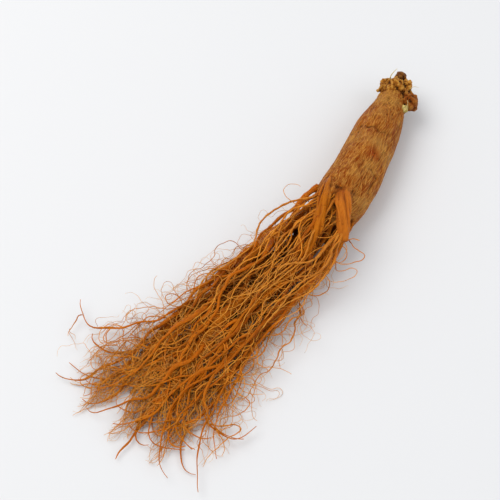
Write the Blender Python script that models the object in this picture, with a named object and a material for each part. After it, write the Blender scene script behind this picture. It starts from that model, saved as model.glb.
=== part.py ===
"""Red ginseng root, dried with all its fine roots on, lying on its side.

One grown piece: a knobbed head, a barrel body, six legs and a brush of rootlets, fused into one solid.
+X runs along the root towards the head, +Z is up, and the root rests on Z = 0.
"""

import math
import random

import bmesh
import bpy
from mathutils import Matrix, Vector

MM = 0.001
FULL_TURN = 2 * math.pi
UP = Vector((0, 0, 1))

# Driving dimensions
BODY_LENGTH = 52 * MM
BODY_RADIUS = 9.4 * MM
BODY_AXIS_HEIGHT = 8.3 * MM
BODY_YAW = math.radians(11)
FLOW_YAW = math.radians(175)
BRUSH_LENGTH = 108 * MM
BRUSH_HEIGHT_AT_CROTCH = 15 * MM
BRUSH_HEIGHT_AT_TIPS = 2.0 * MM
BRUSH_FALL = 1.3

# Where the legs part from the body, so placed that the origin is in the middle of the whole root's footprint
CROTCH = Vector((22.86 * MM, -11.52 * MM, BODY_AXIS_HEIGHT))

# How finely each kind of part is faceted
BODY_SIDES = 20
LEG_SIDES = 8
LEG_STEP = 6.0 * MM
ROOTLET_SIDES = 3
GROWTH_STEP = 1.5 * MM
LONGEST_FACET = 9 * MM
FACET_TURN = 0.42

# The two frames: along the body to its head, and down the brush from the crotch.
# In both, the near side is at -Y
ALONG = Vector((math.cos(BODY_YAW), math.sin(BODY_YAW), 0))
BODY_NEAR = ALONG.cross(UP)
FLOW = Vector((math.cos(FLOW_YAW), math.sin(FLOW_YAW), 0))
BRUSH_NEAR = UP.cross(FLOW)

# Body radius as shares of BODY_RADIUS, against the share of BODY_LENGTH from the crotch to the neck
BODY_PROFILE = (
    (-0.10, 0.30),
    (-0.05, 0.62),
    (0.02, 0.86),
    (0.10, 0.97),
    (0.20, 1.00),
    (0.32, 0.985),
    (0.44, 0.95),
    (0.56, 0.92),
    (0.67, 0.90),
    (0.77, 0.86),
    (0.85, 0.80),
    (0.92, 0.72),
    (0.97, 0.63),
    (1.02, 0.55),
    (1.07, 0.50),
    (1.11, 0.40),
)
BODY_BOW = 0.9 * MM

# Lobes of the body's section: how many, how deep, and their turn along the body
BODY_LOBES = ((3, 0.030, 2.2), (5, 0.022, -3.0))

# The furrow along the body: its depth, its angle round the body and its half-width
BODY_FURROW = (0.05, 1.9, 0.28)

# Lumps of the head: place past the neck, to the near side and up, half-lengths likewise (mm)
HEAD_LUMPS = {
    "collar": ((1.4, 0.3, -0.2), (3.0, 5.3, 4.9)),
    "crown": ((5.4, -1.2, 1.0), (4.3, 4.9, 4.7)),
    "side_lobe": ((3.2, 4.9, 0.4), (3.3, 4.3, 3.5)),
    "near_scar": ((8.3, 2.0, 1.0), (2.3, 2.6, 2.4)),
    "back_lobe": ((4.4, -2.2, -2.8), (3.8, 3.8, 2.8)),
    "under_lobe": ((3.0, 2.4, -3.0), (2.8, 2.9, 2.2)),
    "knob_neck": ((9.8, -1.0, 1.2), (2.6, 1.5, 1.5)),
    "top_knob": ((12.0, -1.2, 1.6), (1.9, 2.1, 2.0)),
    "far_nub": ((6.6, -5.4, 1.8), (1.8, 1.7, 1.6)),
    "shoulder_bud": ((-1.8, 5.4, 2.2), (1.5, 1.7, 1.3)),
}
NECK_SHARE = 1.02
NECK = CROTCH + ALONG * (BODY_LENGTH * NECK_SHARE)
FINE_LUMPS = ("crown", "side_lobe", "top_knob")
LUMP_ROUGHNESS = (0.10, 0.07)
LUMP_WAVES = (5, 4, 7, 3)

# Legs: points down the brush, to the near side and up (mm), then base radius, tip radius and flatness
LEGS = {
    "tap_root": (
        ((-9, 0, 8.6), (2, 0.5, 8.2), (14, 2.0, 6.6), (30, 1.5, 5.0), (48, -1.5, 4.6),
         (66, -0.5, 3.4), (84, 3.5, 2.4), (98, 2.5, 1.6)),
        4.4, 0.7, 0.82,
    ),
    "far_leg": (
        ((-9, -3.6, 8.2), (2, -5.0, 7.6), (14, -8.6, 5.8), (30, -11.0, 3.6), (46, -11.0, 2.2),
         (60, -13.6, 0.75), (80, -13.0, 1.7)),
        3.7, 0.6, 0.80,
    ),
    "near_leg": (
        ((-9, 4.0, 7.6), (2, 6.0, 6.8), (13, 9.2, 4.6), (28, 10.6, 3.2), (44, 9.6, 2.0),
         (58, 12.2, 0.7), (78, 16.0, 1.5)),
        3.4, 0.6, 0.78,
    ),
    "over_leg": (
        ((-12, -5.4, 12.0), (-6, -5.0, 15.6), (2, -2.4, 16.8), (10, 2.2, 15.0), (19, 5.0, 11.4),
         (32, 5.4, 8.8), (48, 4.0, 7.6), (66, 6.8, 5.6), (84, 8.8, 3.6)),
        2.6, 0.55, 0.60,
    ),
    "under_leg": (
        ((-8, -0.8, 5.0), (3, -2.4, 4.0), (16, -4.4, 2.6), (34, -5.8, 2.2), (54, -6.0, 1.9),
         (74, -8.0, 1.4), (92, -6.2, 1.0)),
        2.6, 0.5, 0.85,
    ),
    "broken_leg": (
        ((-9, -1.0, 12.6), (-5, 0.8, 15.8), (-0.5, 4.4, 16.4), (4.0, 8.2, 14.9), (8.0, 11.4, 12.4)),
        3.0, 2.5, 0.75,
    ),
}
LEG_TAPER = 0.85
LEG_KNUCKLE = 0.06
KNUCKLE_RATE = 23
LEG_TWIST = 0.12

# Rootlets on each leg, and on the lower end of the body, and the ranges that their growth is drawn from
ROOTLETS = {"tap_root": 12, "far_leg": 10, "near_leg": 10, "over_leg": 7, "under_leg": 6, "body": 5}
ROOTLET_SEED = 41
ROOTLET_RADIUS = (0.55 * MM, 0.95 * MM)
FINEST_TIP = 0.22 * MM
ROOTLET_TAPER = 0.8
SETTLE_RUN = 7 * MM
STEER_RUN = 16 * MM
HARDEST_STEER = 0.55
DRIFT = (-17 * MM, 17 * MM)
WAVE = (0.10, 0.30)
WAVE_RATE = (0.17 / MM, 0.33 / MM)
RIPPLE = (0.05, 0.26)
RIPPLE_RATE = (0.45 / MM, 0.80 / MM)
BOB = (0.10, 0.30)
BOB_RATE = 0.25 / MM
CURL = (0.3, 3.0)
LIFT = (0.05, 0.95)
CLIMB_RUN = 7 * MM
STEEPEST = 0.75
PITCH_KEPT = 0.6

# Where rootlets leave a leg, how far they turn aside from it, and how much of the room to the tips they fill
LEG_START_SHARES = (0.16, 0.96)
LEAVE_TURN = (0.25, 0.75)
FILL = (0.6, 1.0)
PAST_THE_TIPS = 8 * MM
RISE_IN_LEG = 0.2

# Where rootlets leave the body: angle from its near side up, distance above the crotch, turn aside, length
BODY_START_ANGLES = (20, 160)
BODY_START_JITTER = 0.2
BODY_START_RUN = (2, 12)
BODY_START_DEPTH = 0.86
BODY_LEAVE_TURN = 0.9
BODY_ROOTLET_LENGTH = (40, 85)

SKIN_COLOUR = (0.29, 0.10, 0.022, 1.0)
SKIN_ROUGHNESS = 0.5


def clamp(value, most):
    return max(-most, min(most, value))


def spline(points, step):
    """Points about a step apart on a Catmull-Rom curve through the given ones."""
    ends = [points[0] * 2 - points[1], *points, points[-1] * 2 - points[-2]]
    found = []
    for a, b, c, d in zip(ends, ends[1:], ends[2:], ends[3:]):
        count = max(1, round((c - b).length / step))
        for i in range(count):
            t = i / count
            bend = (2 * a - 5 * b + 4 * c - d) * t**2 + (3 * b - a - 3 * c + d) * t**3
            found.append(0.5 * (2 * b + (c - a) * t + bend))
    found.append(points[-1].copy())
    return found


def brush_point(down, near, height):
    """A point given down the brush from the crotch, to the near side and above the floor (mm)."""
    point = CROTCH + FLOW * (down * MM) + BRUSH_NEAR * (near * MM)
    point.z = height * MM
    return point


def loft(rings, tip=None):
    """A closed mesh of triangles through rings of equal count, ending in a tip where one is given."""
    mesh = bmesh.new()
    rows = [[mesh.verts.new(p) for p in ring] for ring in rings]
    for low, high in zip(rows, rows[1:]):
        for i in range(len(low)):
            j = (i + 1) % len(low)
            mesh.faces.new((low[i], low[j], high[j], high[i]))
    mesh.faces.new(reversed(rows[0]))
    if tip is None:
        mesh.faces.new(rows[-1])
    else:
        point = mesh.verts.new(tip)
        last = rows[-1]
        for i in range(len(last)):
            mesh.faces.new((last[i], last[(i + 1) % len(last)], point))
    bmesh.ops.triangulate(mesh, faces=mesh.faces)
    bmesh.ops.recalc_face_normals(mesh, faces=mesh.faces)
    return mesh


def tube(path, radii, sides, flatness=1.0, twist=0.0):
    """A tube along a path, round or flattened, with a point past its last ring, nowhere below the floor."""
    rings = []
    side = (path[1] - path[0]).cross(UP)
    for i, point in enumerate(path):
        heading = (path[min(i + 1, len(path) - 1)] - path[max(i - 1, 0)]).normalized()
        side = (side - heading * side.dot(heading)).normalized()
        other = heading.cross(side)
        turn = twist * i
        ring = []
        for k in range(sides):
            angle = FULL_TURN * k / sides
            wide, thin = radii[i] * math.cos(angle), radii[i] * flatness * math.sin(angle)
            spread = side * (wide * math.cos(turn) - thin * math.sin(turn))
            spread += other * (wide * math.sin(turn) + thin * math.cos(turn))
            corner = point + spread
            corner.z = max(corner.z, 0.0)
            ring.append(corner)
        rings.append(ring)
    end = path[-1] + (path[-1] - path[-2]).normalized() * radii[-1]
    return loft(rings, end)


def body():
    """The barrel: a lobed loft with a shallow waist and furrow, flat where it lies on the surface."""
    rings = []
    furrow_depth, furrow_angle, furrow_width = BODY_FURROW
    for share, size in BODY_PROFILE:
        middle = math.sin(math.pi * min(max(share, 0), 1))
        centre = CROTCH + ALONG * (BODY_LENGTH * share) + BODY_NEAR * (BODY_BOW * math.sin(math.pi * share))
        ring = []
        for k in range(BODY_SIDES):
            angle = FULL_TURN * k / BODY_SIDES
            lobes = 1 + sum(depth * math.cos(many * angle + turn * share) for many, depth, turn in BODY_LOBES)
            furrow = furrow_depth * math.exp(-(((angle - furrow_angle) / furrow_width) ** 2)) * middle
            reach = BODY_RADIUS * size * (lobes - furrow)
            point = centre + BODY_NEAR * (reach * math.cos(angle)) + UP * (reach * math.sin(angle))
            point.z = max(point.z, 0.0)
            ring.append(point)
        rings.append(ring)
    return loft(rings)


def head_lump(name, place, half):
    """One lump of the head, rough by a formula.

    The axes are left-handed and mirror the sphere, so its faces are reversed to point outwards.
    """
    axes = Matrix((ALONG, BODY_NEAR, UP)).transposed()
    coarse, fine = LUMP_ROUGHNESS
    a, b, c, d = LUMP_WAVES
    phase = len(name)
    mesh = bmesh.new()
    bmesh.ops.create_icosphere(mesh, subdivisions=3 if name in FINE_LUMPS else 2, radius=1)
    for vert in mesh.verts:
        p = vert.co.normalized()
        rough = 1 + coarse * math.sin(a * p.y + phase) * math.sin(b * p.z - phase)
        rough += fine * math.sin(c * p.x + d * p.y)
        p *= rough
        local = Vector((place[0] + p.x * half[0], place[1] + p.y * half[1], place[2] + p.z * half[2]))
        vert.co = NECK + axes @ (local * MM)
    bmesh.ops.reverse_faces(mesh, faces=mesh.faces)
    return mesh


def leg_path(name, step):
    """The centreline of a leg and the radius at each of its points."""
    places, base, tip, _ = LEGS[name]
    path = spline([brush_point(*place) for place in places], step)
    radii = []
    for i in range(len(path)):
        share = i / (len(path) - 1)
        knuckle = LEG_KNUCKLE * math.sin(KNUCKLE_RATE * share + len(name))
        radii.append(MM * (tip + (base - tip) * (1 - share) ** LEG_TAPER * (1 + knuckle)))
    return path, radii


def leg(name):
    path, radii = leg_path(name, LEG_STEP)
    return tube(path, radii, LEG_SIDES, flatness=LEGS[name][3], twist=LEG_TWIST)


def brush_height(down):
    """How high the brush of rootlets stands over the surface at a distance from the crotch."""
    share = min(max(down / BRUSH_LENGTH, 0.0), 1.0)
    return BRUSH_HEIGHT_AT_TIPS + (BRUSH_HEIGHT_AT_CROTCH - BRUSH_HEIGHT_AT_TIPS) * (1 - share) ** BRUSH_FALL


def grow(rng, start, yaw, length, radius):
    """The centreline of a rootlet: it bends into the brush, keeps its lane, waves, and curls at its tip."""
    lift, drift = rng.uniform(*LIFT), rng.uniform(*DRIFT)
    curl = rng.choice((-1, 1)) * rng.uniform(*CURL)
    wave, wave_rate, wave_phase = rng.uniform(*WAVE), rng.uniform(*WAVE_RATE), rng.uniform(0, FULL_TURN)
    ripple, ripple_rate = rng.uniform(*RIPPLE), rng.uniform(*RIPPLE_RATE)
    ripple_phase = rng.uniform(0, FULL_TURN)
    bob, bob_phase = rng.uniform(*BOB), rng.uniform(0, FULL_TURN)
    start_down, start_near = (start - CROTCH).dot(FLOW), (start - CROTCH).dot(BRUSH_NEAR)
    point, pitch = start.copy(), 0.0
    path = [point.copy()]
    steps = max(6, round(length / GROWTH_STEP))
    for i in range(1, steps + 1):
        share, run = i / steps, i * GROWTH_STEP
        settled = 1 - math.exp(-run / SETTLE_RUN)
        down, near = (point - CROTCH).dot(FLOW), (point - CROTCH).dot(BRUSH_NEAR)
        lane = start_near + drift * (down - start_down) / BRUSH_LENGTH
        heading = yaw + (FLOW_YAW - yaw) * settled
        heading += clamp((lane - near) / STEER_RUN, HARDEST_STEER) * settled * (1 - share**3)
        heading += wave * math.sin(wave_rate * run + wave_phase)
        heading += ripple * math.sin(ripple_rate * run + ripple_phase) * settled
        heading += curl * share**3
        goal = radius + lift * brush_height(down) * (1 + bob * math.sin(BOB_RATE * run + bob_phase))
        pitch = PITCH_KEPT * pitch + (1 - PITCH_KEPT) * clamp((goal - point.z) / CLIMB_RUN, STEEPEST)
        level = GROWTH_STEP * math.cos(pitch)
        climb = GROWTH_STEP * math.sin(pitch)
        point = point + Vector((level * math.cos(heading), level * math.sin(heading), climb))
        point.z = max(point.z, radius)
        path.append(point.copy())
    return path


def body_starts(rng, count):
    """Where rootlets grow out of the body's lower end, which way, and how long they get."""
    low, high = BODY_START_ANGLES
    for i in range(count):
        angle = math.radians(low + (high - low) * (i + 0.5) / count)
        angle += rng.uniform(-BODY_START_JITTER, BODY_START_JITTER)
        out = BODY_NEAR * math.cos(angle) + UP * math.sin(angle)
        start = CROTCH + ALONG * (rng.uniform(*BODY_START_RUN) * MM) + out * (BODY_RADIUS * BODY_START_DEPTH)
        yield start, FLOW_YAW + BODY_LEAVE_TURN * math.cos(angle), rng.uniform(*BODY_ROOTLET_LENGTH) * MM


def leg_starts(rng, name, count):
    """Where rootlets grow out of a leg, to its two sides in turn, which way, and how long they get."""
    path, radii = leg_path(name, GROWTH_STEP)
    low, high = LEG_START_SHARES
    for i in range(count):
        share = low + (high - low) * (i + rng.uniform(0.1, 0.9)) / count
        k = min(int(share * (len(path) - 1)), len(path) - 2)
        heading = path[k + 1] - path[k]
        yaw = math.atan2(heading.y, heading.x) % FULL_TURN
        side = 1 if i % 2 else -1
        room = BRUSH_LENGTH - (path[k] - CROTCH).dot(FLOW)
        length = (PAST_THE_TIPS + room) * rng.uniform(*FILL)
        yield path[k] + UP * (radii[k] * RISE_IN_LEG), yaw + side * rng.uniform(*LEAVE_TURN), length


def rootlets():
    """Every rootlet as a centreline and its radii, by a seeded rule."""
    rng = random.Random(ROOTLET_SEED)
    found = []
    for name, count in ROOTLETS.items():
        starts = body_starts(rng, count) if name == "body" else leg_starts(rng, name, count)
        for start, yaw, length in starts:
            base = rng.uniform(*ROOTLET_RADIUS)
            path = grow(rng, start, yaw, length, base)
            last = len(path) - 1
            shares = [(1 - i / last) ** ROOTLET_TAPER for i in range(last + 1)]
            found.append((path, [FINEST_TIP + (base - FINEST_TIP) * share for share in shares]))
    return found


def rootlet(path, radii):
    """The faceted rootlet: long facets where its centreline runs straight, short ones where it turns."""
    kept, heading = [0], path[1] - path[0]
    for i in range(1, len(path) - 1):
        onward = path[i + 1] - path[i]
        if heading.angle(onward) > FACET_TURN or (path[i] - path[kept[-1]]).length > LONGEST_FACET:
            kept.append(i)
            heading = onward
    kept.append(len(path) - 1)
    return tube([path[i] for i in kept], [radii[i] for i in kept], ROOTLET_SIDES)


def add(name, mesh, collection):
    data = bpy.data.meshes.new(name)
    mesh.to_mesh(data)
    mesh.free()
    thing = bpy.data.objects.new(name, data)
    collection.objects.link(thing)
    return thing


def fuse(base, collection):
    """Joins everything in the collection to the base in one Boolean union, then removes the collection."""
    union = base.modifiers.new("fuse", "BOOLEAN")
    union.operation = "UNION"
    union.operand_type = "COLLECTION"
    union.collection = collection
    union.solver = "MANIFOLD"
    bpy.context.view_layer.update()
    evaluated = base.evaluated_get(bpy.context.evaluated_depsgraph_get())
    joined = bpy.data.meshes.new_from_object(evaluated)
    base.modifiers.clear()
    base.data = joined
    for part in list(collection.objects):
        bpy.data.objects.remove(part)
    bpy.data.collections.remove(collection)


def keep_outer_skin(thing):
    """Fills each hollow that the union sealed and drops any loose scrap: only the largest skin stays."""
    mesh = bmesh.new()
    mesh.from_mesh(thing.data)
    left, skins = set(mesh.faces), []
    while left:
        skin, edge = [], [left.pop()]
        while edge:
            face = edge.pop()
            skin.append(face)
            beside = {f for e in face.edges if len(e.link_faces) == 2 for f in e.link_faces} & left
            left -= beside
            edge.extend(beside)
        skins.append(skin)
    outer = max(skins, key=len)
    bmesh.ops.delete(mesh, geom=[f for skin in skins if skin is not outer for f in skin], context="FACES")
    mesh.to_mesh(thing.data)
    mesh.free()


def skin_material():
    material = bpy.data.materials.new("root_skin")
    material.use_nodes = True
    shader = material.node_tree.nodes["Principled BSDF"]
    shader.inputs["Base Color"].default_value = SKIN_COLOUR
    shader.inputs["Roughness"].default_value = SKIN_ROUGHNESS
    shader.inputs["Metallic"].default_value = 0.0
    return material


def main():
    for thing in list(bpy.data.objects):
        bpy.data.objects.remove(thing)
    scene = bpy.context.scene.collection
    grown = bpy.data.collections.new("grown_parts")
    scene.children.link(grown)
    root = add("ginseng_root", body(), scene)
    for name, (place, half) in HEAD_LUMPS.items():
        add(name, head_lump(name, place, half), grown)
    for name in LEGS:
        add(name, leg(name), grown)
    for number, (path, radii) in enumerate(rootlets()):
        add(f"rootlet_{number}", rootlet(path, radii), grown)
    fuse(root, grown)
    keep_outer_skin(root)
    root.data.materials.clear()
    root.data.materials.append(skin_material())
    root.data.shade_smooth()
    root.data.set_sharp_from_angle(angle=math.radians(40))


main()
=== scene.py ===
"""A dried red ginseng root with all its fine roots on, dressed for close looks.

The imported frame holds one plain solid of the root. The same skeleton is grown again here in finer pieces:
the fibrous body with its legs, the crumpled head, the rootlets, and the fine roots and hairs between them.
"""

import math
import random

import bpy
import numpy as np
from mathutils import Matrix, Vector, noise


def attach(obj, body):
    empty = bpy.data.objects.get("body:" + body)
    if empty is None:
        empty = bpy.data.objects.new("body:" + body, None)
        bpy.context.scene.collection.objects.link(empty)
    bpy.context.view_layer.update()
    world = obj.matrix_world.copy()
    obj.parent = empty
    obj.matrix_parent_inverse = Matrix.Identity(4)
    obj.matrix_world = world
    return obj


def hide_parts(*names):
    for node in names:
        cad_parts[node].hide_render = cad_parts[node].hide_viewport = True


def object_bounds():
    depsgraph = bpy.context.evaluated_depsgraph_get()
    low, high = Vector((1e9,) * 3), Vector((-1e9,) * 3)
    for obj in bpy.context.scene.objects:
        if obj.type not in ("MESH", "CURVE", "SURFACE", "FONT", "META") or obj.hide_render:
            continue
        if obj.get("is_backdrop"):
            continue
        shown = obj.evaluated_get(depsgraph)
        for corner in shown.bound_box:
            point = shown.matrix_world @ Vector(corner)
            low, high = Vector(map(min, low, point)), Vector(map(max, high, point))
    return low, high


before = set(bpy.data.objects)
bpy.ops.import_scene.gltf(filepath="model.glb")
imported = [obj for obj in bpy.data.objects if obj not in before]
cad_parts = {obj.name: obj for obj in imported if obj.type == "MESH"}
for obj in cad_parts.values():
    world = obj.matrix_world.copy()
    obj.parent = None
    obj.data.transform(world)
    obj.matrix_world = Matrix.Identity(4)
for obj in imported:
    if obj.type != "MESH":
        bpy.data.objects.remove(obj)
solid_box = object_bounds()

MM = 0.001
FULL_TURN = 2 * math.pi
UP = Vector((0, 0, 1))

# The skeleton: the values that the solid is grown from
BODY_LENGTH = 52 * MM
BODY_RADIUS = 9.4 * MM
BODY_AXIS_HEIGHT = 8.3 * MM
BODY_YAW = math.radians(11)
FLOW_YAW = math.radians(175)
BRUSH_LENGTH = 108 * MM
BRUSH_HEIGHT_AT_CROTCH = 15 * MM
BRUSH_HEIGHT_AT_TIPS = 2.0 * MM
BRUSH_FALL = 1.3
CROTCH = Vector((22.86 * MM, -11.52 * MM, BODY_AXIS_HEIGHT))
GROWTH_STEP = 1.5 * MM

# The thick of the brush, where shade is painted: its half-width at the crotch, how it widens down the brush,
# and the depth over which the painted shade in it grows dark
THICK_HALF_WIDTH = 8 * MM
THICK_SPREAD = 0.2
THICK_DEPTH = 6.5 * MM

# The two frames: along the body to its head, and down the brush from the crotch.
# In both, the near side is at -Y
ALONG = Vector((math.cos(BODY_YAW), math.sin(BODY_YAW), 0))
BODY_NEAR = ALONG.cross(UP)
FLOW = Vector((math.cos(FLOW_YAW), math.sin(FLOW_YAW), 0))
BRUSH_NEAR = UP.cross(FLOW)

# The body: shares of its length with the shares of its radius there, how far it bows, its lobes (how many,
# how deep, and how they wind), and the depth, angle and width of its furrow
BODY_PROFILE = (
    (-0.10, 0.30),
    (-0.05, 0.62),
    (0.02, 0.86),
    (0.10, 0.97),
    (0.20, 1.00),
    (0.32, 0.985),
    (0.44, 0.95),
    (0.56, 0.92),
    (0.67, 0.90),
    (0.77, 0.86),
    (0.85, 0.80),
    (0.92, 0.72),
    (0.97, 0.63),
    (1.02, 0.55),
    (1.07, 0.50),
    (1.11, 0.40),
)
BODY_BOW = 0.9 * MM
BODY_LOBES = ((3, 0.030, 2.2), (5, 0.022, -3.0))
BODY_FURROW = (0.05, 1.9, 0.28)

# Lumps of the head: place past the neck, to the near side and up, half-lengths likewise (mm)
HEAD_LUMPS = {
    "collar": ((1.4, 0.3, -0.2), (3.0, 5.3, 4.9)),
    "crown": ((5.4, -1.2, 1.0), (4.3, 4.9, 4.7)),
    "side_lobe": ((3.2, 4.9, 0.4), (3.3, 4.3, 3.5)),
    "near_scar": ((8.3, 2.0, 1.0), (2.3, 2.6, 2.4)),
    "back_lobe": ((4.4, -2.2, -2.8), (3.8, 3.8, 2.8)),
    "under_lobe": ((3.0, 2.4, -3.0), (2.8, 2.9, 2.2)),
    "knob_neck": ((9.8, -1.0, 1.2), (2.6, 1.5, 1.5)),
    "top_knob": ((12.0, -1.2, 1.6), (1.9, 2.1, 2.0)),
    "far_nub": ((6.6, -5.4, 1.8), (1.8, 1.7, 1.6)),
    "shoulder_bud": ((-1.8, 5.4, 2.2), (1.5, 1.7, 1.3)),
}
NECK_SHARE = 1.02
NECK = CROTCH + ALONG * (BODY_LENGTH * NECK_SHARE)
HEAD_AXES = Matrix((ALONG, BODY_NEAR, UP)).transposed()
LUMP_ROUGHNESS = (0.10, 0.07)
LUMP_WAVES = (5, 4, 7, 3)

# Legs: points down the brush, to the near side and up (mm), then base radius, tip radius and flatness
LEGS = {
    "tap_root": (
        ((-9, 0, 8.6), (2, 0.5, 8.2), (14, 2.0, 6.6), (30, 1.5, 5.0), (48, -1.5, 4.6),
         (66, -0.5, 3.4), (84, 3.5, 2.4), (98, 2.5, 1.6)),
        4.4, 0.7, 0.82,
    ),
    "far_leg": (
        ((-9, -3.6, 8.2), (2, -5.0, 7.6), (14, -8.6, 5.8), (30, -11.0, 3.6), (46, -11.0, 2.2),
         (60, -13.6, 0.75), (80, -13.0, 1.7)),
        3.7, 0.6, 0.80,
    ),
    "near_leg": (
        ((-9, 4.0, 7.6), (2, 6.0, 6.8), (13, 9.2, 4.6), (28, 10.6, 3.2), (44, 9.6, 2.0),
         (58, 12.2, 0.7), (78, 16.0, 1.5)),
        3.4, 0.6, 0.78,
    ),
    "over_leg": (
        ((-12, -5.4, 12.0), (-6, -5.0, 15.6), (2, -2.4, 16.8), (10, 2.2, 15.0), (19, 5.0, 11.4),
         (32, 5.4, 8.8), (48, 4.0, 7.6), (66, 6.8, 5.6), (84, 8.8, 3.6)),
        2.6, 0.55, 0.60,
    ),
    "under_leg": (
        ((-8, -0.8, 5.0), (3, -2.4, 4.0), (16, -4.4, 2.6), (34, -5.8, 2.2), (54, -6.0, 1.9),
         (74, -8.0, 1.4), (92, -6.2, 1.0)),
        2.6, 0.5, 0.85,
    ),
    "broken_leg": (
        ((-9, -1.0, 12.6), (-5, 0.8, 15.8), (-0.5, 4.4, 16.4), (4.0, 8.2, 14.9), (8.0, 11.4, 12.4)),
        3.0, 2.5, 0.75,
    ),
}
LEG_TAPER = 0.85
LEG_KNUCKLE = 0.06
KNUCKLE_RATE = 23
LEG_TWIST = 0.12
LEG_TWIST_STEP = 6.0 * MM

# Rootlets, and the ranges that their growth is drawn from
ROOTLETS = {"tap_root": 12, "far_leg": 10, "near_leg": 10, "over_leg": 7, "under_leg": 6, "body": 5}
ROOTLET_SEED = 41
ROOTLET_RADIUS = (0.55 * MM, 0.95 * MM)
FINEST_TIP = 0.22 * MM
ROOTLET_TAPER = 0.8
SETTLE_RUN = 7 * MM
STEER_RUN = 16 * MM
HARDEST_STEER = 0.55
DRIFT = (-17 * MM, 17 * MM)
WAVE = (0.10, 0.30)
WAVE_RATE = (0.17 / MM, 0.33 / MM)
RIPPLE = (0.05, 0.26)
RIPPLE_RATE = (0.45 / MM, 0.80 / MM)
BOB = (0.10, 0.30)
BOB_RATE = 0.25 / MM
CURL = (0.3, 3.0)
LIFT = (0.05, 0.95)
CLIMB_RUN = 7 * MM
STEEPEST = 0.75
PITCH_KEPT = 0.6
LEG_START_SHARES = (0.16, 0.96)
LEG_START_JITTER = (0.1, 0.9)
LEAVE_TURN = (0.25, 0.75)
FILL = (0.6, 1.0)
PAST_THE_TIPS = 8 * MM
RISE_IN_LEG = 0.2
BODY_START_ANGLES = (20, 160)
BODY_START_JITTER = 0.2
BODY_START_RUN = (2, 12)
BODY_START_DEPTH = 0.86
BODY_LEAVE_TURN = 0.9
BODY_ROOTLET_LENGTH = (40, 85)

# How fine the pieces are
BODY_RINGS = 96
BODY_SEGMENTS = 96
FLESH_VOXEL = 0.345 * MM
HEAD_VOXEL = 0.15 * MM
LEG_STEP = 1.2 * MM
STRAND_STEP = 1.0 * MM
MERGE_DISTANCE = 1e-7

# How a strand ends bluntly, as shares of its radius: how far it bulges, its rim's radius, and its flat end.
# Its tone goes by the letters of its name for a leg, and a tone of 1 moves its grain by so many mm
BLUNT_END = (0.12, 0.86, 0.02)
LEG_TONE_STEP = 0.1
STRAND_GRAIN_STEP = 40

# The camera and the light
VIEW_AZIMUTH = math.radians(-53)
VIEW_ELEVATION = math.radians(58)
VIEW_RIGHT = Vector((0.602, -0.799, 0))
VIEW_UP = Vector((0.677, 0.510, 0.530))
LENS = 90
SENSOR = 36
AIM = Vector((-3.5 * MM, 3.5 * MM, 4 * MM))
CAMERA_DISTANCE = 0.425
SKY = ((0.95, 0.97, 1.0, 1), 0.73)

# Lights: the way to each (up, and right and up in the picture), its distance and size (m), power and colour
LIGHTS = (
    ("key", (1.1, -0.75, 0.35), 0.9, 0.75, 4.5, (1.0, 0.985, 0.96)),
    ("fill", (0.9, 0.9, -0.3), 1.0, 0.8, 1.6, (1, 1, 1)),
)


def clamp(value, most):
    return max(-most, min(most, value))


def spline(points, step):
    """Points about a step apart on a Catmull-Rom curve through the given ones."""
    ends = [points[0] * 2 - points[1], *points, points[-1] * 2 - points[-2]]
    found = []
    for a, b, c, d in zip(ends, ends[1:], ends[2:], ends[3:]):
        count = max(1, round((c - b).length / step))
        for i in range(count):
            t = i / count
            bend = (2 * a - 5 * b + 4 * c - d) * t**2 + (3 * b - a - 3 * c + d) * t**3
            found.append(0.5 * (2 * b + (c - a) * t + bend))
    found.append(points[-1].copy())
    return found


def brush_point(down, near, height):
    """A point given down the brush from the crotch, to the near side and above the floor (mm)."""
    point = CROTCH + FLOW * (down * MM) + BRUSH_NEAR * (near * MM)
    point.z = height * MM
    return point


def in_brush(point):
    """How far down the brush from the crotch a point is, and how far to the near side."""
    return (point - CROTCH).dot(FLOW), (point - CROTCH).dot(BRUSH_NEAR)


def moved_on(point, yaw, pitch, step, lowest):
    """The point a step further on, and no lower than this."""
    level = step * math.cos(pitch)
    point = point + Vector((level * math.cos(yaw), level * math.sin(yaw), step * math.sin(pitch)))
    point.z = max(point.z, lowest)
    return point


def leg_path(name, step):
    """The centreline of a leg and the radius at each of its points."""
    places, base, tip, _ = LEGS[name]
    path = spline([brush_point(*place) for place in places], step)
    radii = []
    for i in range(len(path)):
        share = i / (len(path) - 1)
        knuckle = LEG_KNUCKLE * math.sin(KNUCKLE_RATE * share + len(name))
        radii.append(MM * (tip + (base - tip) * (1 - share) ** LEG_TAPER * (1 + knuckle)))
    return path, radii


def brush_height(down):
    """How high the brush of rootlets stands over the surface at a distance from the crotch."""
    share = min(max(down / BRUSH_LENGTH, 0.0), 1.0)
    return BRUSH_HEIGHT_AT_TIPS + (BRUSH_HEIGHT_AT_CROTCH - BRUSH_HEIGHT_AT_TIPS) * (1 - share) ** BRUSH_FALL


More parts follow.
